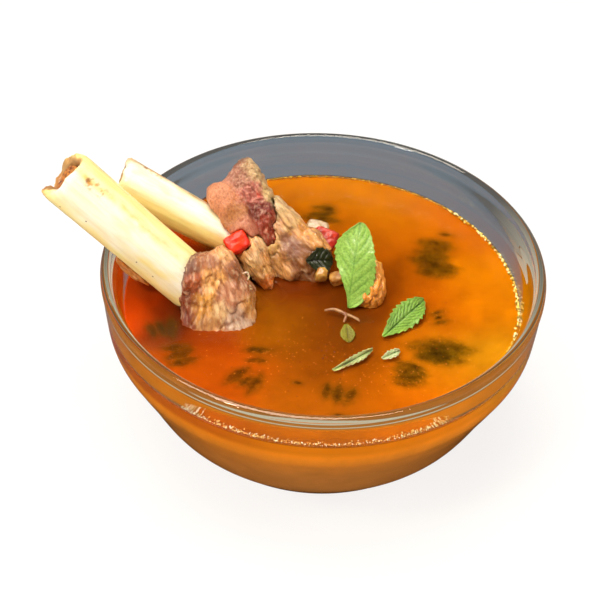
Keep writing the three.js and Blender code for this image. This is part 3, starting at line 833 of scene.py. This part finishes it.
# %% Marrow
def soft_tissue(name, dark, light, grain_mm, bump_mm, roughness=0.38, wet=0.5, bleed=0.2):
    """Wet cooked tissue: the vertex tint is broken up between a dark and a light shade of itself."""
    material = new_material(name)
    tint = add(material, "Attribute", attribute_name="tint")
    strand = add(material, "Attribute", attribute_name="strand")
    fine = add(material, "TexNoise", {"Vector": strand.outputs["Vector"], "Scale": 1 / grain_mm,
                                                "Detail": 7.0, "Roughness": 0.68})
    shade = add(material, "ValToRGB", {"Fac": fine},
                stops=[(0.33, dark), (0.52, "#f4ece2"), (0.70, light)])
    mixed = add(material, "Mix", {0: 1.0, 6: tint, 7: shade},
                data_type="RGBA", blend_type="MULTIPLY")
    bump = add(material, "Bump", {"Height": fine, "Strength": 0.9,
                                            "Distance": bump_mm * MM})
    shine = add(material, "MapRange", {"Value": fine, "To Min": roughness + 0.15,
                                                 "To Max": roughness - 0.12})
    tissue = add(material, "BsdfPrincipled", {
        "Base Color": mixed.outputs[2], "Roughness": shine, "Coat Weight": wet,
        "Coat Roughness": 0.12, "Subsurface Weight": bleed, "Subsurface Radius": (1.0, 0.45, 0.25),
        "Subsurface Scale": 1.5 * MM, "Normal": bump, "Coat Normal": bump})
    add(material, "OutputMaterial", {"Surface": tissue})
    return material


MARROW_RED, MARROW_TAN = linear("#6a1a06"), linear("#c8843c")


def marrow(name, cad_name):
    mesh = remeshed(cad_name, 0.35, 3)
    press(mesh, [0.45 * wave(p, 2.4, 21, 4) for p in points_of(mesh)])
    points = points_of(mesh)
    low, high = min(p.dot(FACE_UP) for p in points), max(p.dot(FACE_UP) for p in points)
    # Painted light: the marrow is tan towards the top of its face and red lower down, unevenly.
    lit = [(p.dot(FACE_UP) - low) / (high - low) + 0.6 * wave(p, 2.0, 22) for p in points]
    paint(mesh, "tint", [blend(MARROW_RED, MARROW_TAN, smoothstep(0.35, 0.85, share)) for share in lit])
    paint(mesh, "strand", points)
    show(name, mesh, marrow_finish, "marrow", cad_name)


marrow_finish = soft_tissue("boiled marrow", "#7a5a4c", "#ffffff", 1.2, 0.5)
marrow("marrow_plug_front", "marrow_front")
marrow("marrow_plug_back", "marrow_back")

# %% [markdown]
# ## The meat
#
# Stewed mutton is bundles of muscle strands that part from each other, with pale fat and
# connective sheets between them. Bump alone would leave the outline of a smooth ball, so the
# strands are pressed into the fine mesh: noise that is stretched several times longer along the
# strands than across them. Each chunk names where its strands run from, and the strands fan out
# from there. Its colour comes from named patches: a chunk is seen from one side, so a patch is
# placed by how far right and how far up its slanted face it lies, and has a reach and a colour.
# The partings are painted dark as well as pressed in, which is painted shade; the fibres are painted pale
# and dark, partly their own colour and partly painted sheen and shade; and the patch colours are those
# seen, with the light and shade that fell on them, a few painted lighter where other pieces shade them.

# %% The meat
PALE_FIBRE_AND_SHEEN, DARK_FIBRE_AND_SHADE = linear("#f6e2c4"), linear("#7a3f20")


def strands_from(fan, direction, spread):
    """Gives a place its strand coordinates in mm: two across the strands and one along them."""
    fan, direction = Vector(fan), Vector(direction).normalized()
    first = direction.cross(Vector((0, 0, 1))).normalized()
    second = direction.cross(first)

    def coordinates(point):
        offset = point - fan
        along = max(offset.dot(direction), 1.0)
        widen = spread / (spread + along)
        return Vector((offset.dot(first) * widen * 1.6, offset.dot(second) * widen * 1.6, along))

    return coordinates


def stretched(strand, across_mm, along_mm):
    return Vector((strand.x / across_mm, strand.y / across_mm, strand.z / along_mm))


def parting(strand):
    """1 along the middle of a parting between two bundles of strands, 0 away from it."""
    return math.exp(-((wave(stretched(strand, 3.6, 16), 1, 33, 2) / 0.07) ** 2))


def meat_relief(strand, lumps, deep):
    """Relief of torn meat in mm: bundles, strands in them, and a few deep partings."""
    bundles = wave(stretched(strand, 2.8, 12), 1, 31)
    fine = wave(stretched(strand, 0.9, 5), 1, 32)
    return lumps * bundles + 0.38 * fine - deep * parting(strand)


def patch_colour(patches, point):
    """Colour from named patches at a place in mm, with ragged borders between them."""
    ragged = point + 1.3 * Vector((wave(point, 2.6, 34), 0, wave(point, 2.6, 35)))
    across, up_face = ragged.x, ragged.dot(FACE_UP)
    total, weight = np.zeros(4), 1e-9
    for (patch_across, patch_up), reach, tint in patches.values():
        distance = math.hypot(across - patch_across, up_face - patch_up) / reach
        near = math.exp(-1.2 * distance * distance)
        total += near * np.array(linear(tint))
        weight += near
    return list(total / weight)


def fibrous(colour, strand, contrast):
    """The colour broken into fibres that run with the strands: pale ones partly painted sheen, dark ones
    partly painted shade.
    """
    fibre = wave(stretched(strand, 0.8, 5), 1, 36)
    if fibre > 0:
        return blend(colour, PALE_FIBRE_AND_SHEEN, contrast * smoothstep(0.05, 0.5, fibre))
    return blend(colour, DARK_FIBRE_AND_SHADE, contrast * smoothstep(-0.05, -0.5, fibre))


def chunk(name, cad_name, finish, slot, strands, patches, lumps=0.45, deep=0.42, contrast=0.38,
          calm=lambda point: 1.0, spacing=0.38):
    """A CAD chunk as torn meat: remeshed, pressed along its strands and painted by patches."""
    mesh = remeshed(cad_name, spacing, 4)
    press(mesh, [calm(p) * meat_relief(strands(p), lumps, deep) for p in points_of(mesh)])
    tints, places = [], []
    for point in points_of(mesh):
        strand = strands(point)
        colour = fibrous(patch_colour(patches, point), strand, contrast * calm(point))
        # Painted shade: the partings between bundles are painted dark as well as pressed in.
        tints.append(blend(colour, DARK_FIBRE_AND_SHADE, 0.45 * calm(point) * parting(strand)))
        places.append((strand.x, strand.y, strand.z / 5))
    paint(mesh, "tint", tints)
    paint(mesh, "strand", places)
    show(name, mesh, finish, slot, cad_name)


muscle = soft_tissue("stewed muscle", "#c49c7c", "#fff6e2", 0.8, 0.55, roughness=0.28, wet=0.85)
soft_fat = soft_tissue("stewed fat and tendon", "#d0a878", "#fff6e2", 1.0, 0.45,
                       roughness=0.3, wet=0.8, bleed=0.3)

# %% The front chunk, at the foot of the front bone
FRONT_PATCHES = {
    "browned lobe": ((-43.3, 40.7), 3.2, "#764228"),
    "browned lobe, low": ((-39.6, 36), 2.0, "#c4662f"),
    "left side": ((-43, 29.5), 3.4, "#82340f"),
    "spike": ((-32, 48), 2.4, "#ecb476"),
    "brow": ((-36.4, 43), 2.0, "#b06c3a"),
    "band of fat": ((-34.7, 37), 2.3, "#fbc070"),
    "muscle": ((-28.7, 32.2), 2.6, "#c68a66"),
    "yellow fat": ((-36.8, 28.7), 2.6, "#e8ac50"),
    "cream fat": ((-31.6, 27.5), 1.9, "#e8c894"),
    "net": ((-26, 25.5), 2.8, "#d1b7a7"),
    "waterline": ((-34, 23.3), 2.2, "#bf8d57"),
    "right edge": ((-22.5, 28.5), 2.2, "#eaae61"),
    "right hollow": ((-25.4, 38.9), 2.6, "#a8683a"),
}
front_strands = strands_from((-38, 4, 62), (0.25, -0.62, -0.74), 16)
chunk("meat_chunk_front", "meat_front", muscle, "meat", front_strands, FRONT_PATCHES)

# %% The rear chunk, with its pink slab
BACK_PATCHES = {
    "crust": ((-30.3, 77.3), 2.4, "#8f6044"),
    "right of the crust": ((-23.6, 73.6), 2.4, "#dac092"),
    "slab, top": ((-35.5, 66.5), 3.2, "#e39d77"),
    "slab": ((-33, 62.8), 3.2, "#de9268"),
    "slab, low": ((-29.4, 59), 2.6, "#c08048"),
    "slab's foot": ((-25.8, 54.8), 2.4, "#d58e74"),
    "block": ((-29.2, 71), 2.8, "#bb8271"),
    "purple muscle": ((-25, 65.5), 2.4, "#cc766c"),
    "fleck": ((-22.4, 65), 0.7, "#e33819"),
    "valley": ((-22.4, 59.8), 2.0, "#81200f"),
    "valley's foot": ((-20.6, 56.4), 2.0, "#a7391e"),
    "right strip": ((-18.4, 67), 1.6, "#ecd397"),
    "herb": ((-16.4, 64), 1.0, "#564b1c"),
}


def off_slab(point):
    """Little relief on the smooth slab at the left, full relief right of it."""
    return 0.3 + 0.7 * smoothstep(-1.5, 1.5, (point.x + 28.5) * 0.8 + (point.dot(FACE_UP) - 66) * 0.55)


back_strands = strands_from((-30, 18, 84), (0.12, 0.1, -1), 60)
chunk("meat_chunk_back", "meat_back", muscle, "meat", back_strands, BACK_PATCHES, lumps=0.4, deep=0.3,
      contrast=0.32, calm=off_slab)

# %% The middle chunk, fatty and grey
MIDDLE_PATCHES = {
    "grey lobe": ((-14.3, 61), 2.2, "#e4ca98"),
    "under the lobe": ((-15.6, 56.3), 1.7, "#d8a06c"),
    "lobe's right": ((-11.5, 57.8), 2.0, "#e8c488"),
    "yellow fat": ((-6.2, 54.4), 2.5, "#e2a24d"),
    "rope": ((-20, 52.6), 2.2, "#f0c08a"),
    "rope's end": ((-17, 48.6), 2.0, "#e4b76e"),
    "muscle": ((-10.3, 48), 2.7, "#98684d"),
    "muscle, low": ((-7.4, 43.6), 2.2, "#9e6836"),
    "low left": ((-13.6, 43.2), 2.4, "#f2b870"),
    "far right": ((-3, 56), 2.0, "#d19f61"),
    "behind": ((-19.9, 56.5), 1.7, "#c07a48"),
}
middle_strands = strands_from((-26, 30, 64), (0.6, -0.5, -0.6), 24)
chunk("meat_chunk_middle", "meat_middle", muscle, "meat", middle_strands, MIDDLE_PATCHES,
      lumps=0.6, deep=0.4)

# %% The flap of fat, the scrap of fat and the tendon
FLAP_PATCHES = {
    # Painted light: the upper left and the border are painted lighter where the pieces round the flap shade
    # it.
    "upper left": ((-26.1, 46.1), 2.2, "#ffc880"),
    "border": ((-23.8, 42), 1.8, "#ffd890"),
    "middle": ((-21.8, 45.4), 2.0, "#e8c494"),
    "fold": ((-18.1, 44.4), 1.8, "#d89a4c"),
    "low": ((-19.7, 40.4), 1.8, "#d9a760"),
    "foot": ((-17.5, 37.2), 1.6, "#e17e1d"),
}
SCRAP_PATCHES = {
    "cream edge": ((12.5, 41.5), 2.0, "#fbe6b8"),
    "golden top": ((15.5, 47), 2.2, "#ffc850"),
    "under the broth": ((19, 38), 4.0, "#f0a030"),
}
TENDON_PATCHES = {"tendon": ((-60, 38), 6, "#d89038"), "low": ((-54, 30), 4, "#c06c20")}
flap_strands = strands_from((-27, 14, 58), (0.5, -0.6, -0.5), 30)
chunk("meat_flap_piece", "meat_flap", soft_fat, "fat", flap_strands, FLAP_PATCHES, spacing=0.35)
scrap_strands = strands_from((14, 16, 54), (0.1, -0.9, -0.4), 40)
chunk("fat_scrap_piece", "fat_scrap", soft_fat, "fat", scrap_strands, SCRAP_PATCHES,
      contrast=0.15, spacing=0.35)
tendon_strands = strands_from((-66, 2, 58), (0.8, -0.2, -0.6), 60)
chunk("tendon_strip", "tendon", soft_fat, "fat", tendon_strands, TENDON_PATCHES,
      lumps=0.3, deep=0.2, spacing=0.35)

# %% [markdown]
# ## Mint leaves
#
# A mint leaf is a thin sheet, quilted between its side veins and saw-toothed at the margin. It
# could be a flat card with a painted edge, but its outline and quilting catch the light, so each
# is a fine grid bent into shape: the midrib arches, the halves fold, every side vein is a valley
# and the teeth lean towards the tip. The fresh leaves lie where the CAD leaves are, in the same
# proportions; the two halves of a blade may be fullest at different heights.

# %% The shape of a leaf
LEAF_THICKNESS = 0.32
NARROW_END = 0.35
EVEN_HALVES = ((0.55, 0.8), (0.55, 0.8))


def leaf_blade(base, tip, half_width, tilt=0, fold=0, arch=0, ruffle=0, teeth=8, bite=0.10, veins=7,
               quilt=0.2, halves=EVEN_HALVES, across=28, along=72):
    """A leaf's points in mm, how deep in a vein's valley each lies, and how many make a row.

    Each half is given by where it is fullest and by a power that is low where its ends are blunt."""
    start = Vector(base)
    midrib = Vector(tip) - start
    side = midrib.cross(Vector((0, 0, 1))).normalized()
    side.rotate(Matrix.Rotation(math.radians(tilt), 3, midrib.normalized()))
    lift = side.cross(midrib).normalized()
    sheet, valleys = [], []
    for row in range(along + 1):
        u = row / along
        for column in range(across + 1):
            v = 2 * column / across - 1
            fullest, fullness = halves[v > 0]
            saw = 1 + bite * (1 - 2 * ((u * teeth + 0.3) % 1)) * min(1, 8 * u)
            swell = math.sin(math.pi * u ** (math.log(0.5) / math.log(fullest))) ** fullness
            width = NARROW_END + (half_width - NARROW_END) * swell * saw
            vein_phase = (u - 0.30 * abs(v)) * veins
            valley = math.exp(-((math.remainder(vein_phase, 1) / 0.13) ** 2)) * smoothstep(1.0, 0.6, abs(v))
            valley = max(valley, math.exp(-((v * width / 0.28) ** 2)))
            ruffled = ruffle * math.sin(2 * math.pi * (1.6 * u + 0.2 * math.copysign(1, v))) * v * v
            raised = (arch * math.sin(math.pi * u) + fold * abs(v) * width / half_width + ruffled
                      - quilt * valley)
            sheet.append(start + midrib * u + side * (v * width) + lift * raised)
            valleys.append(valley)
    return sheet, valleys, across + 1


def two_faced(sheet, row, thickness):
    """Both faces of a sheet of points and the strip round its edge."""
    rows = len(sheet) // row
    faces = [(r * row + c, r * row + c + 1, (r + 1) * row + c + 1, (r + 1) * row + c)
             for r in range(rows - 1) for c in range(row - 1)]
    normals = [Vector() for _ in sheet]
    for face in faces:
        across = (sheet[face[1]] - sheet[face[0]]).cross(sheet[face[3]] - sheet[face[0]])
        for corner in face:
            normals[corner] += across
    half = [n.normalized() * thickness / 2 for n in normals]
    points = [p + h for p, h in zip(sheet, half)] + [p - h for p, h in zip(sheet, half)]
    border = [*range(row), *range(2 * row - 1, rows * row, row),
              *range(rows * row - 2, (rows - 1) * row, -1), *range((rows - 1) * row, 0, -row)]
    count = len(sheet)
    below = [tuple(i + count for i in reversed(face)) for face in faces]
    strip = [(b, a, a + count, b + count) for a, b in zip(border, border[1:] + border[:1])]
    return points, faces + below + strip


def joined(parts):
    """Several (points, faces) pairs as one."""
    points, faces = [], []
    for more_points, more_faces in parts:
        faces += [tuple(c + len(points) for c in face) for face in more_faces]
        points += more_points
    return points, faces


def leaf_piece(name, material, slot, replaced, light, dark, seed, **shape):
    """A leaf as a piece, painted light with dark valleys and a little unevenness."""
    sheet, valleys, row = leaf_blade(**shape)
    points, faces = two_faced(sheet, row, LEAF_THICKNESS)
    mesh = mesh_of(name, points, faces)
    shades = []
    for point, valley in zip(points, valleys + valleys):
        uneven = 0.5 + 0.9 * wave(point, 3.2, seed)
        darkened = 0.25 * uneven + 0.75 * valley * (0.6 + 0.5 * uneven)
        shades.append(blend(linear(light), linear(dark), darkened))
    paint(mesh, "tint", shades)
    show(name, mesh, material, slot, *replaced)


# %% Fresh leaf
def fresh_leaf(name, roughness, glow, wet, mirror=0.5):
    """Living leaf: satin, lets some light through, and is finely pitted between its veins."""
    material = new_material(name)
    tint = add(material, "Attribute", attribute_name="tint")
    where = add(material, "TexCoord")
    pits = add(material, "TexNoise", {"Vector": where.outputs["Object"], "Scale": 1 / (0.6 * MM),
                                                "Detail": 4.0})
    shade = add(material, "ValToRGB", {"Fac": pits},
                stops=[(0.30, "#c9d2b4"), (0.60, "#ffffff")])
    mixed = add(material, "Mix", {0: 1.0, 6: tint, 7: shade},
                data_type="RGBA", blend_type="MULTIPLY")
    bump = add(material, "Bump", {"Height": pits, "Strength": 0.5,
                                            "Distance": 0.15 * MM})
    leaf = add(material, "BsdfPrincipled", {
        "Base Color": mixed.outputs[2], "Roughness": roughness, "Coat Weight": wet, "Coat Roughness": 0.1,
        "Specular IOR Level": mirror, "Subsurface Weight": glow, "Subsurface Radius": (0.4, 1.0, 0.2),
        "Subsurface Scale": 0.6 * MM,
        "Normal": bump})
    add(material, "OutputMaterial", {"Surface": leaf})
    return material


mint = fresh_leaf("fresh mint", 0.45, 0.25, 0.1)
leaf_piece("mint_leaf_upright", mint, "mint", ["mint_upright"], "#9ac45a", "#6a9a3a", 81,
           base=(8.5, -5.8, 45.4), tip=(11.3, 12, 66), half_width=7.1, tilt=-4, fold=-1.2, arch=1.6,
           ruffle=0.9, teeth=13, bite=0.05, veins=8, quilt=0.16, halves=((0.66, 1.1), (0.42, 0.6)))
leaf_piece("mint_leaf_floating", mint, "mint", ["mint_floating"], "#8cb84e", "#2c5414", 82,
           base=(19.8, -18, 44.9), tip=(32.8, -1, 46), half_width=4.2, tilt=22, fold=0.5, arch=0.9,
           ruffle=0.7, teeth=9, bite=0.13, veins=11, quilt=0.8)
leaf_piece("mint_leaf_edge", mint, "mint", ["mint_edge"], "#c6cf92", "#5b8438", 83,
           base=(4.4, -34, 44.6), tip=(16.4, -24.6, 45.4), half_width=1.25, tilt=48, fold=0.5, arch=0.5,
           ruffle=0.5, teeth=9, bite=0.3, veins=9, quilt=0.5, across=16, along=60)
leaf_piece("mint_leaf_tip", mint, "mint", ["mint_tip"], "#d8e0b4", "#6b8a44", 84,
           base=(19.4, -28, 44.9), tip=(24.8, -24.8, 45.5), half_width=1.3, tilt=35, fold=0.4, arch=0.4,
           ruffle=0.4, teeth=5, bite=0.3, veins=5, quilt=0.5, across=14, along=32)

# %% [markdown]
# ### Cooked leaves
#
# Long cooked mint turns dark olive and goes limp. One wet leaf sticks to the meat; the others
# hang in the clear top of the broth. A sunk leaf lies so close over the cloudy body that its
# margin dips into it, which leaves the middle of the leaf to show, dark and without an edge.

# %% Cooked leaves
cooked = fresh_leaf("cooked mint", 0.35, 0.0, 0.25, mirror=0.25)
leaf_piece("cooked_leaf_on_meat", cooked, "herb", ["herb_dark"], "#262c12", "#0b0e05", 91,
           base=(-5.5, 9, 51.5), tip=(3, 11, 50.5), half_width=4.2, tilt=38, fold=0.8, arch=0.8, ruffle=0.6,
           teeth=5, veins=5, quilt=0.4, across=20, along=40)

sunk = fresh_leaf("cooked mint under the surface", 0.8, 0.0, 0.0, mirror=0.0)
SUNK_DARK = linear("#241e04")


def sprig(name, leaves):
    """One sunk sprig as one piece: its leaves' middles rise out of the cloud, their margins don't."""
    parts, shades = [], []
    random_leaf = random.Random(name)
    for start, end, half_width in leaves:
        halves = [(random_leaf.uniform(0.4, 0.6), 0.8) for _ in range(2)]
        sheet, valleys, row = leaf_blade(start, end, half_width, ruffle=0.12, teeth=5, veins=5, quilt=0.12,
                                         halves=halves, across=12, along=26)
        rows = len(sheet) // row
        crowns = [(1 - (2 * (i % row) / (row - 1) - 1) ** 2) * math.sin(math.pi * (i // row) / (rows - 1))
                  for i in range(len(sheet))]
        for point, crown in zip(sheet, crowns):
            point.z = min(cloud_top(point.x, point.y) + 0.35 * crown - 0.12, SOUP_LEVEL - 0.2)
        parts.append(two_faced(sheet, row, 0.1))
        for point, crown in zip(sheet + sheet, crowns + crowns):
            murky = broth_colour(point.x, point.y)
            shades.append(blend(murky, SUNK_DARK, crown * (0.55 + 0.5 * wave(point, 2.5, 99))))
    points, faces = joined(parts)
    mesh = mesh_of(name, points, faces)
    paint(mesh, "tint", shades)
    show(name, mesh, sunk, "herb")


for sprig_name, leaves in sunk_leaves.items():
    sprig("sunk_leaves_" + sprig_name, leaves)
leaf_piece("sunk_mint_leaf", mint, "mint", [], "#7a8620", "#4e5214", 85,
           base=(8.0, -12.6, SOUP_LEVEL - 0.8), tip=(9.0, -20.4, SOUP_LEVEL - 1.7), half_width=2.3,
           fold=0.2, teeth=6, veins=6, quilt=0.2, across=14, along=32)


# %% [markdown]
# ### The stalks
#
# Two thin cooked stalks cross under the upright leaf, half in the broth. Each is a tapered tube
# along a smooth line.

# %% The stalks
TUBE_SIDES, TUBE_STEPS = 10, 8
TAPER = 0.4


def tube(points, radius):
    """A closed tube along a smooth line through points, in mm, thinner towards its ends."""
    line = [Vector(p) for p in through(points, TUBE_STEPS)]
    last = len(line) - 1
    first = (line[1] - line[0]).orthogonal()
    ring_points = []
    for i, middle in enumerate(line):
        direction = (line[min(i + 1, last)] - line[max(i - 1, 0)]).normalized()
        first = (first - first.project(direction)).normalized()
        second = direction.cross(first)
        here = radius * (1 - TAPER * (2 * i / last - 1) ** 2)
        for k in range(TUBE_SIDES):
            turn = 2 * math.pi * k / TUBE_SIDES
            ring_points.append(middle + here * (first * math.cos(turn) + second * math.sin(turn)))
    faces = rings_of_faces(last + 1, TUBE_SIDES)
    faces.append(tuple(reversed(range(TUBE_SIDES))))
    faces.append(tuple(range(last * TUBE_SIDES, (last + 1) * TUBE_SIDES)))
    return ring_points, faces


def tubes(name, lines, tints, mottle_mm, seed, material, slot, *replaced):
    """Thin tubes as one piece, mottled between two tints. Each line is a radius in mm and its points."""
    points, faces = joined([tube(line, radius) for radius, *line in lines])
    mesh = mesh_of(name, points, faces)
    first, second = map(linear, tints)
    paint(mesh, "tint", [blend(first, second, 0.5 + wave(p, mottle_mm, seed)) for p in points])
    show(name, mesh, material, slot, *replaced)


STALKS = [
    (0.55, (1, -7.4, 45.2), (4, -7.2, 45.6), (7.4, -8.6, 45.3), (11.8, -11, 45.3)),
    (0.4, (7.0, -9.4, 45.6), (9.4, -9.9, 45.5), (12.2, -11.6, 45.1)),
    (0.45, (7.2, -12.2, 44.9), (7.7, -10.8, 45.4), (7.9, -9.2, 46.0)),
]
cooked_stalk = fresh_leaf("cooked stalk", 0.4, 0.1, 0.4)
tubes("mint_stalks", STALKS, ("#b98a5a", "#8a4a2a"), 2, 95, cooked_stalk, "stem", "mint_stem")

# %% [markdown]
# ### Shreds of tendon
#
# A few cream shreds of connective tissue curl over the side of the front chunk, thin as string
# and shiny. They are tubes like the stalks.

# %% Shreds of tendon
SHREDS = [
    (0.4, (-25.4, -7.5, 54.6), (-24.8, -7.8, 53.9), (-23.7, -8.0, 53.5), (-22.1, -7.5, 52.9)),
    (0.4, (-25.8, -6.4, 55.7), (-25.0, -6.4, 54.9), (-23.8, -6.5, 54.0), (-22.5, -6.9, 53.3)),
    (0.4, (-25.9, -5.7, 56.3), (-25.2, -3.8, 56.0), (-24.0, -2.6, 55.3), (-23.4, -3.3, 54.6),
     (-23.7, -5.0, 54.4)),
]
shred = fresh_leaf("shred of tendon", 0.3, 0.2, 0.6)
tubes("tendon_shreds", SHREDS, ("#f6e4cc", "#d8b490"), 1.5, 96, shred, "fat")

# %% [markdown]
# ## Diced pepper, onion and garlic
#
# Cooked dice lose their sharp edges, go glassy and shine. Each CAD die is remeshed, rounded and
# pressed a little uneven. Pepper has a tight glossy skin over wet flesh; onion and garlic are
# pale and let light in.

# %% Diced pepper, onion and garlic
def cooked_dice(name, cad_name, material, slot, tints, relief, seed):
    mesh = remeshed(cad_name, 0.3, 5)
    press(mesh, [relief * wave(p, 3, seed) for p in points_of(mesh)])
    first, second = map(linear, tints)
    paint(mesh, "tint", [blend(first, second, 0.5 + wave(p, 2.4, seed + 1)) for p in points_of(mesh)])
    paint(mesh, "strand", points_of(mesh))
    show(name, mesh, material, slot, cad_name)


pepper = soft_tissue("cooked red pepper", "#e89068", "#ffffff", 2.4, 0.15,
                     roughness=0.4, wet=0.2, bleed=0.05)
onion = soft_tissue("cooked onion", "#cfae8a", "#ffffff", 2.0, 0.15, roughness=0.24, wet=0.7, bleed=0.2)
cooked_dice("red_pepper_left", "pepper_left", pepper, "pepper", ("#f03c08", "#d82000"), 0.35, 101)
cooked_dice("red_pepper_right", "pepper_right", pepper, "pepper", ("#c83010", "#901400"), 0.4, 103)
cooked_dice("onion_piece", "onion", onion, "onion", ("#d0bc94", "#a88c60"), 0.25, 105)
cooked_dice("garlic_bit_left", "garlic_left", onion, "onion", ("#d9b860", "#b3772e"), 0.4, 107)
cooked_dice("garlic_bit_right", "garlic_right", onion, "onion", ("#d0a456", "#a8662a"), 0.4, 109)

# %% [markdown]
# ## Froth and oil
#
# Boiling leaves a ring of froth where the broth meets the glass, and small drops of oil drift on
# top. Painted dots wouldn't stand up from the surface or catch the lamps, so each bubble and drop
# is a real ball at its true size. One ball is made and then copied by arithmetic, which puts
# a thousand of them in one light mesh. The froth is coarse and yellow on the far right, where
# it lies open, and fine and pale in front, where it is seen through the wall.

# %% Froth and oil
# Painted shade and highlights: each bubble takes one of its arc's tints at random, and the darkest stand
# for bubbles' shaded sides and the palest for their highlights.
FROTH_ARCS = {  # from and to in degrees; bubbles; least and largest radius and climb in mm; tints
    "right": (-22, 48, 330, 0.22, 0.50, 0.5, ("#f6d766", "#8c7412", "#fff0b0", "#c99a1c")),
    "far": (48, 128, 420, 0.15, 0.32, 0.3, ("#9a7c1a", "#6e5a14", "#e0b83c")),
    "left front": (206, 238, 420, 0.14, 0.34, 2.6, ("#f4ead0", "#cdb488", "#fff8e4", "#8c6a34")),
    "front": (238, 292, 330, 0.10, 0.24, 1.2, ("#f0c878", "#e8a048", "#fff0d0")),
    "right front": (292, 338, 330, 0.12, 0.26, 1.4, ("#e8c070", "#c08a34", "#f8e4b0")),
}
DRIFTS = {  # middle and spread in mm, drops, least and largest radius, tints
    "before the meat": ((-16, -28), (26, 14), 150, 0.07, 0.17, ("#d8801c", "#e89c34", "#c86810")),
    "right front": ((22, -34), (24, 14), 150, 0.07, 0.17, ("#d8801c", "#e89c34", "#b8600c")),
    "right": ((44, -4), (14, 30), 70, 0.07, 0.15, ("#f09c28", "#f8b840")),
    "spice": ((4, -18), (50, 34), 120, 0.10, 0.22, ("#5a1c04", "#8c2c06", "#3c1a06")),
}
DROP_FLATNESS = 0.3


def ball():
    """Corners and faces of a round ball of radius 1."""
    work = bmesh.new()
    bmesh.ops.create_icosphere(work, subdivisions=2, radius=1.0)
    ball_corners = np.array([v.co[:] for v in work.verts])
    ball_faces = np.array([[v.index for v in face.verts] for face in work.faces])
    work.free()
    return ball_corners, ball_faces


def beads(name, places, material, slot):
    """Many small balls as one piece. Each place is a middle and three radii in mm, and a tint."""
    unit, faces = ball()
    points = np.concatenate([unit * radii + middle for middle, radii, tint in places])
    all_faces = np.concatenate([faces + i * len(unit) for i in range(len(places))])
    mesh = mesh_of(name, points.tolist(), all_faces.tolist())
    paint(mesh, "tint", [linear(tint) for middle, radii, tint in places for _ in unit])
    show(name, mesh, material, slot)


def glossy_drops(name, roughness):
    material = new_material(name)
    tint = add(material, "Attribute", attribute_name="tint")
    drop = add(material, "BsdfPrincipled", {
        "Base Color": tint, "Roughness": roughness, "Coat Weight": 0.6, "Coat Roughness": 0.05})
    add(material, "OutputMaterial", {"Surface": drop})
    return material


froth = glossy_drops("froth", 0.25)
for arc_name, (start, end, count, least, largest, climb, tints) in FROTH_ARCS.items():
    rng = random.Random(arc_name)
    bubbles = []
    for _ in range(count):
        turn = math.radians(rng.uniform(start, end))
        radius = least + (largest - least) * rng.random() ** 2
        height = SOUP_LEVEL + 0.2 + climb * rng.random() ** 2
        from_axis = wall_radius(height) - radius - 0.6 * rng.random() ** 3
        bubbles.append(((from_axis * math.cos(turn), from_axis * math.sin(turn), height),
                        (radius, radius, radius), rng.choice(tints)))
    beads("froth_" + arc_name.replace(" ", "_"), bubbles, froth, "soup")

oil = glossy_drops("drops of oil", 0.12)
for drift_name, ((cx, cy), (wide, deep), count, least, largest, tints) in DRIFTS.items():
    rng = random.Random(drift_name)
    drops = []
    while len(drops) < count:
        x, y = rng.gauss(cx, wide / 2), rng.gauss(cy, deep / 2)
        if math.hypot(x, y) > wall_radius(SOUP_LEVEL) - 2 or from_shore(x, y) < 1.0:
            continue
        radius = rng.uniform(least, largest)
        drops.append(((x, y, SOUP_LEVEL), (radius, radius, DROP_FLATNESS * radius), rng.choice(tints)))
    beads("drops_" + drift_name.replace(" ", "_"), drops, oil, "soup")
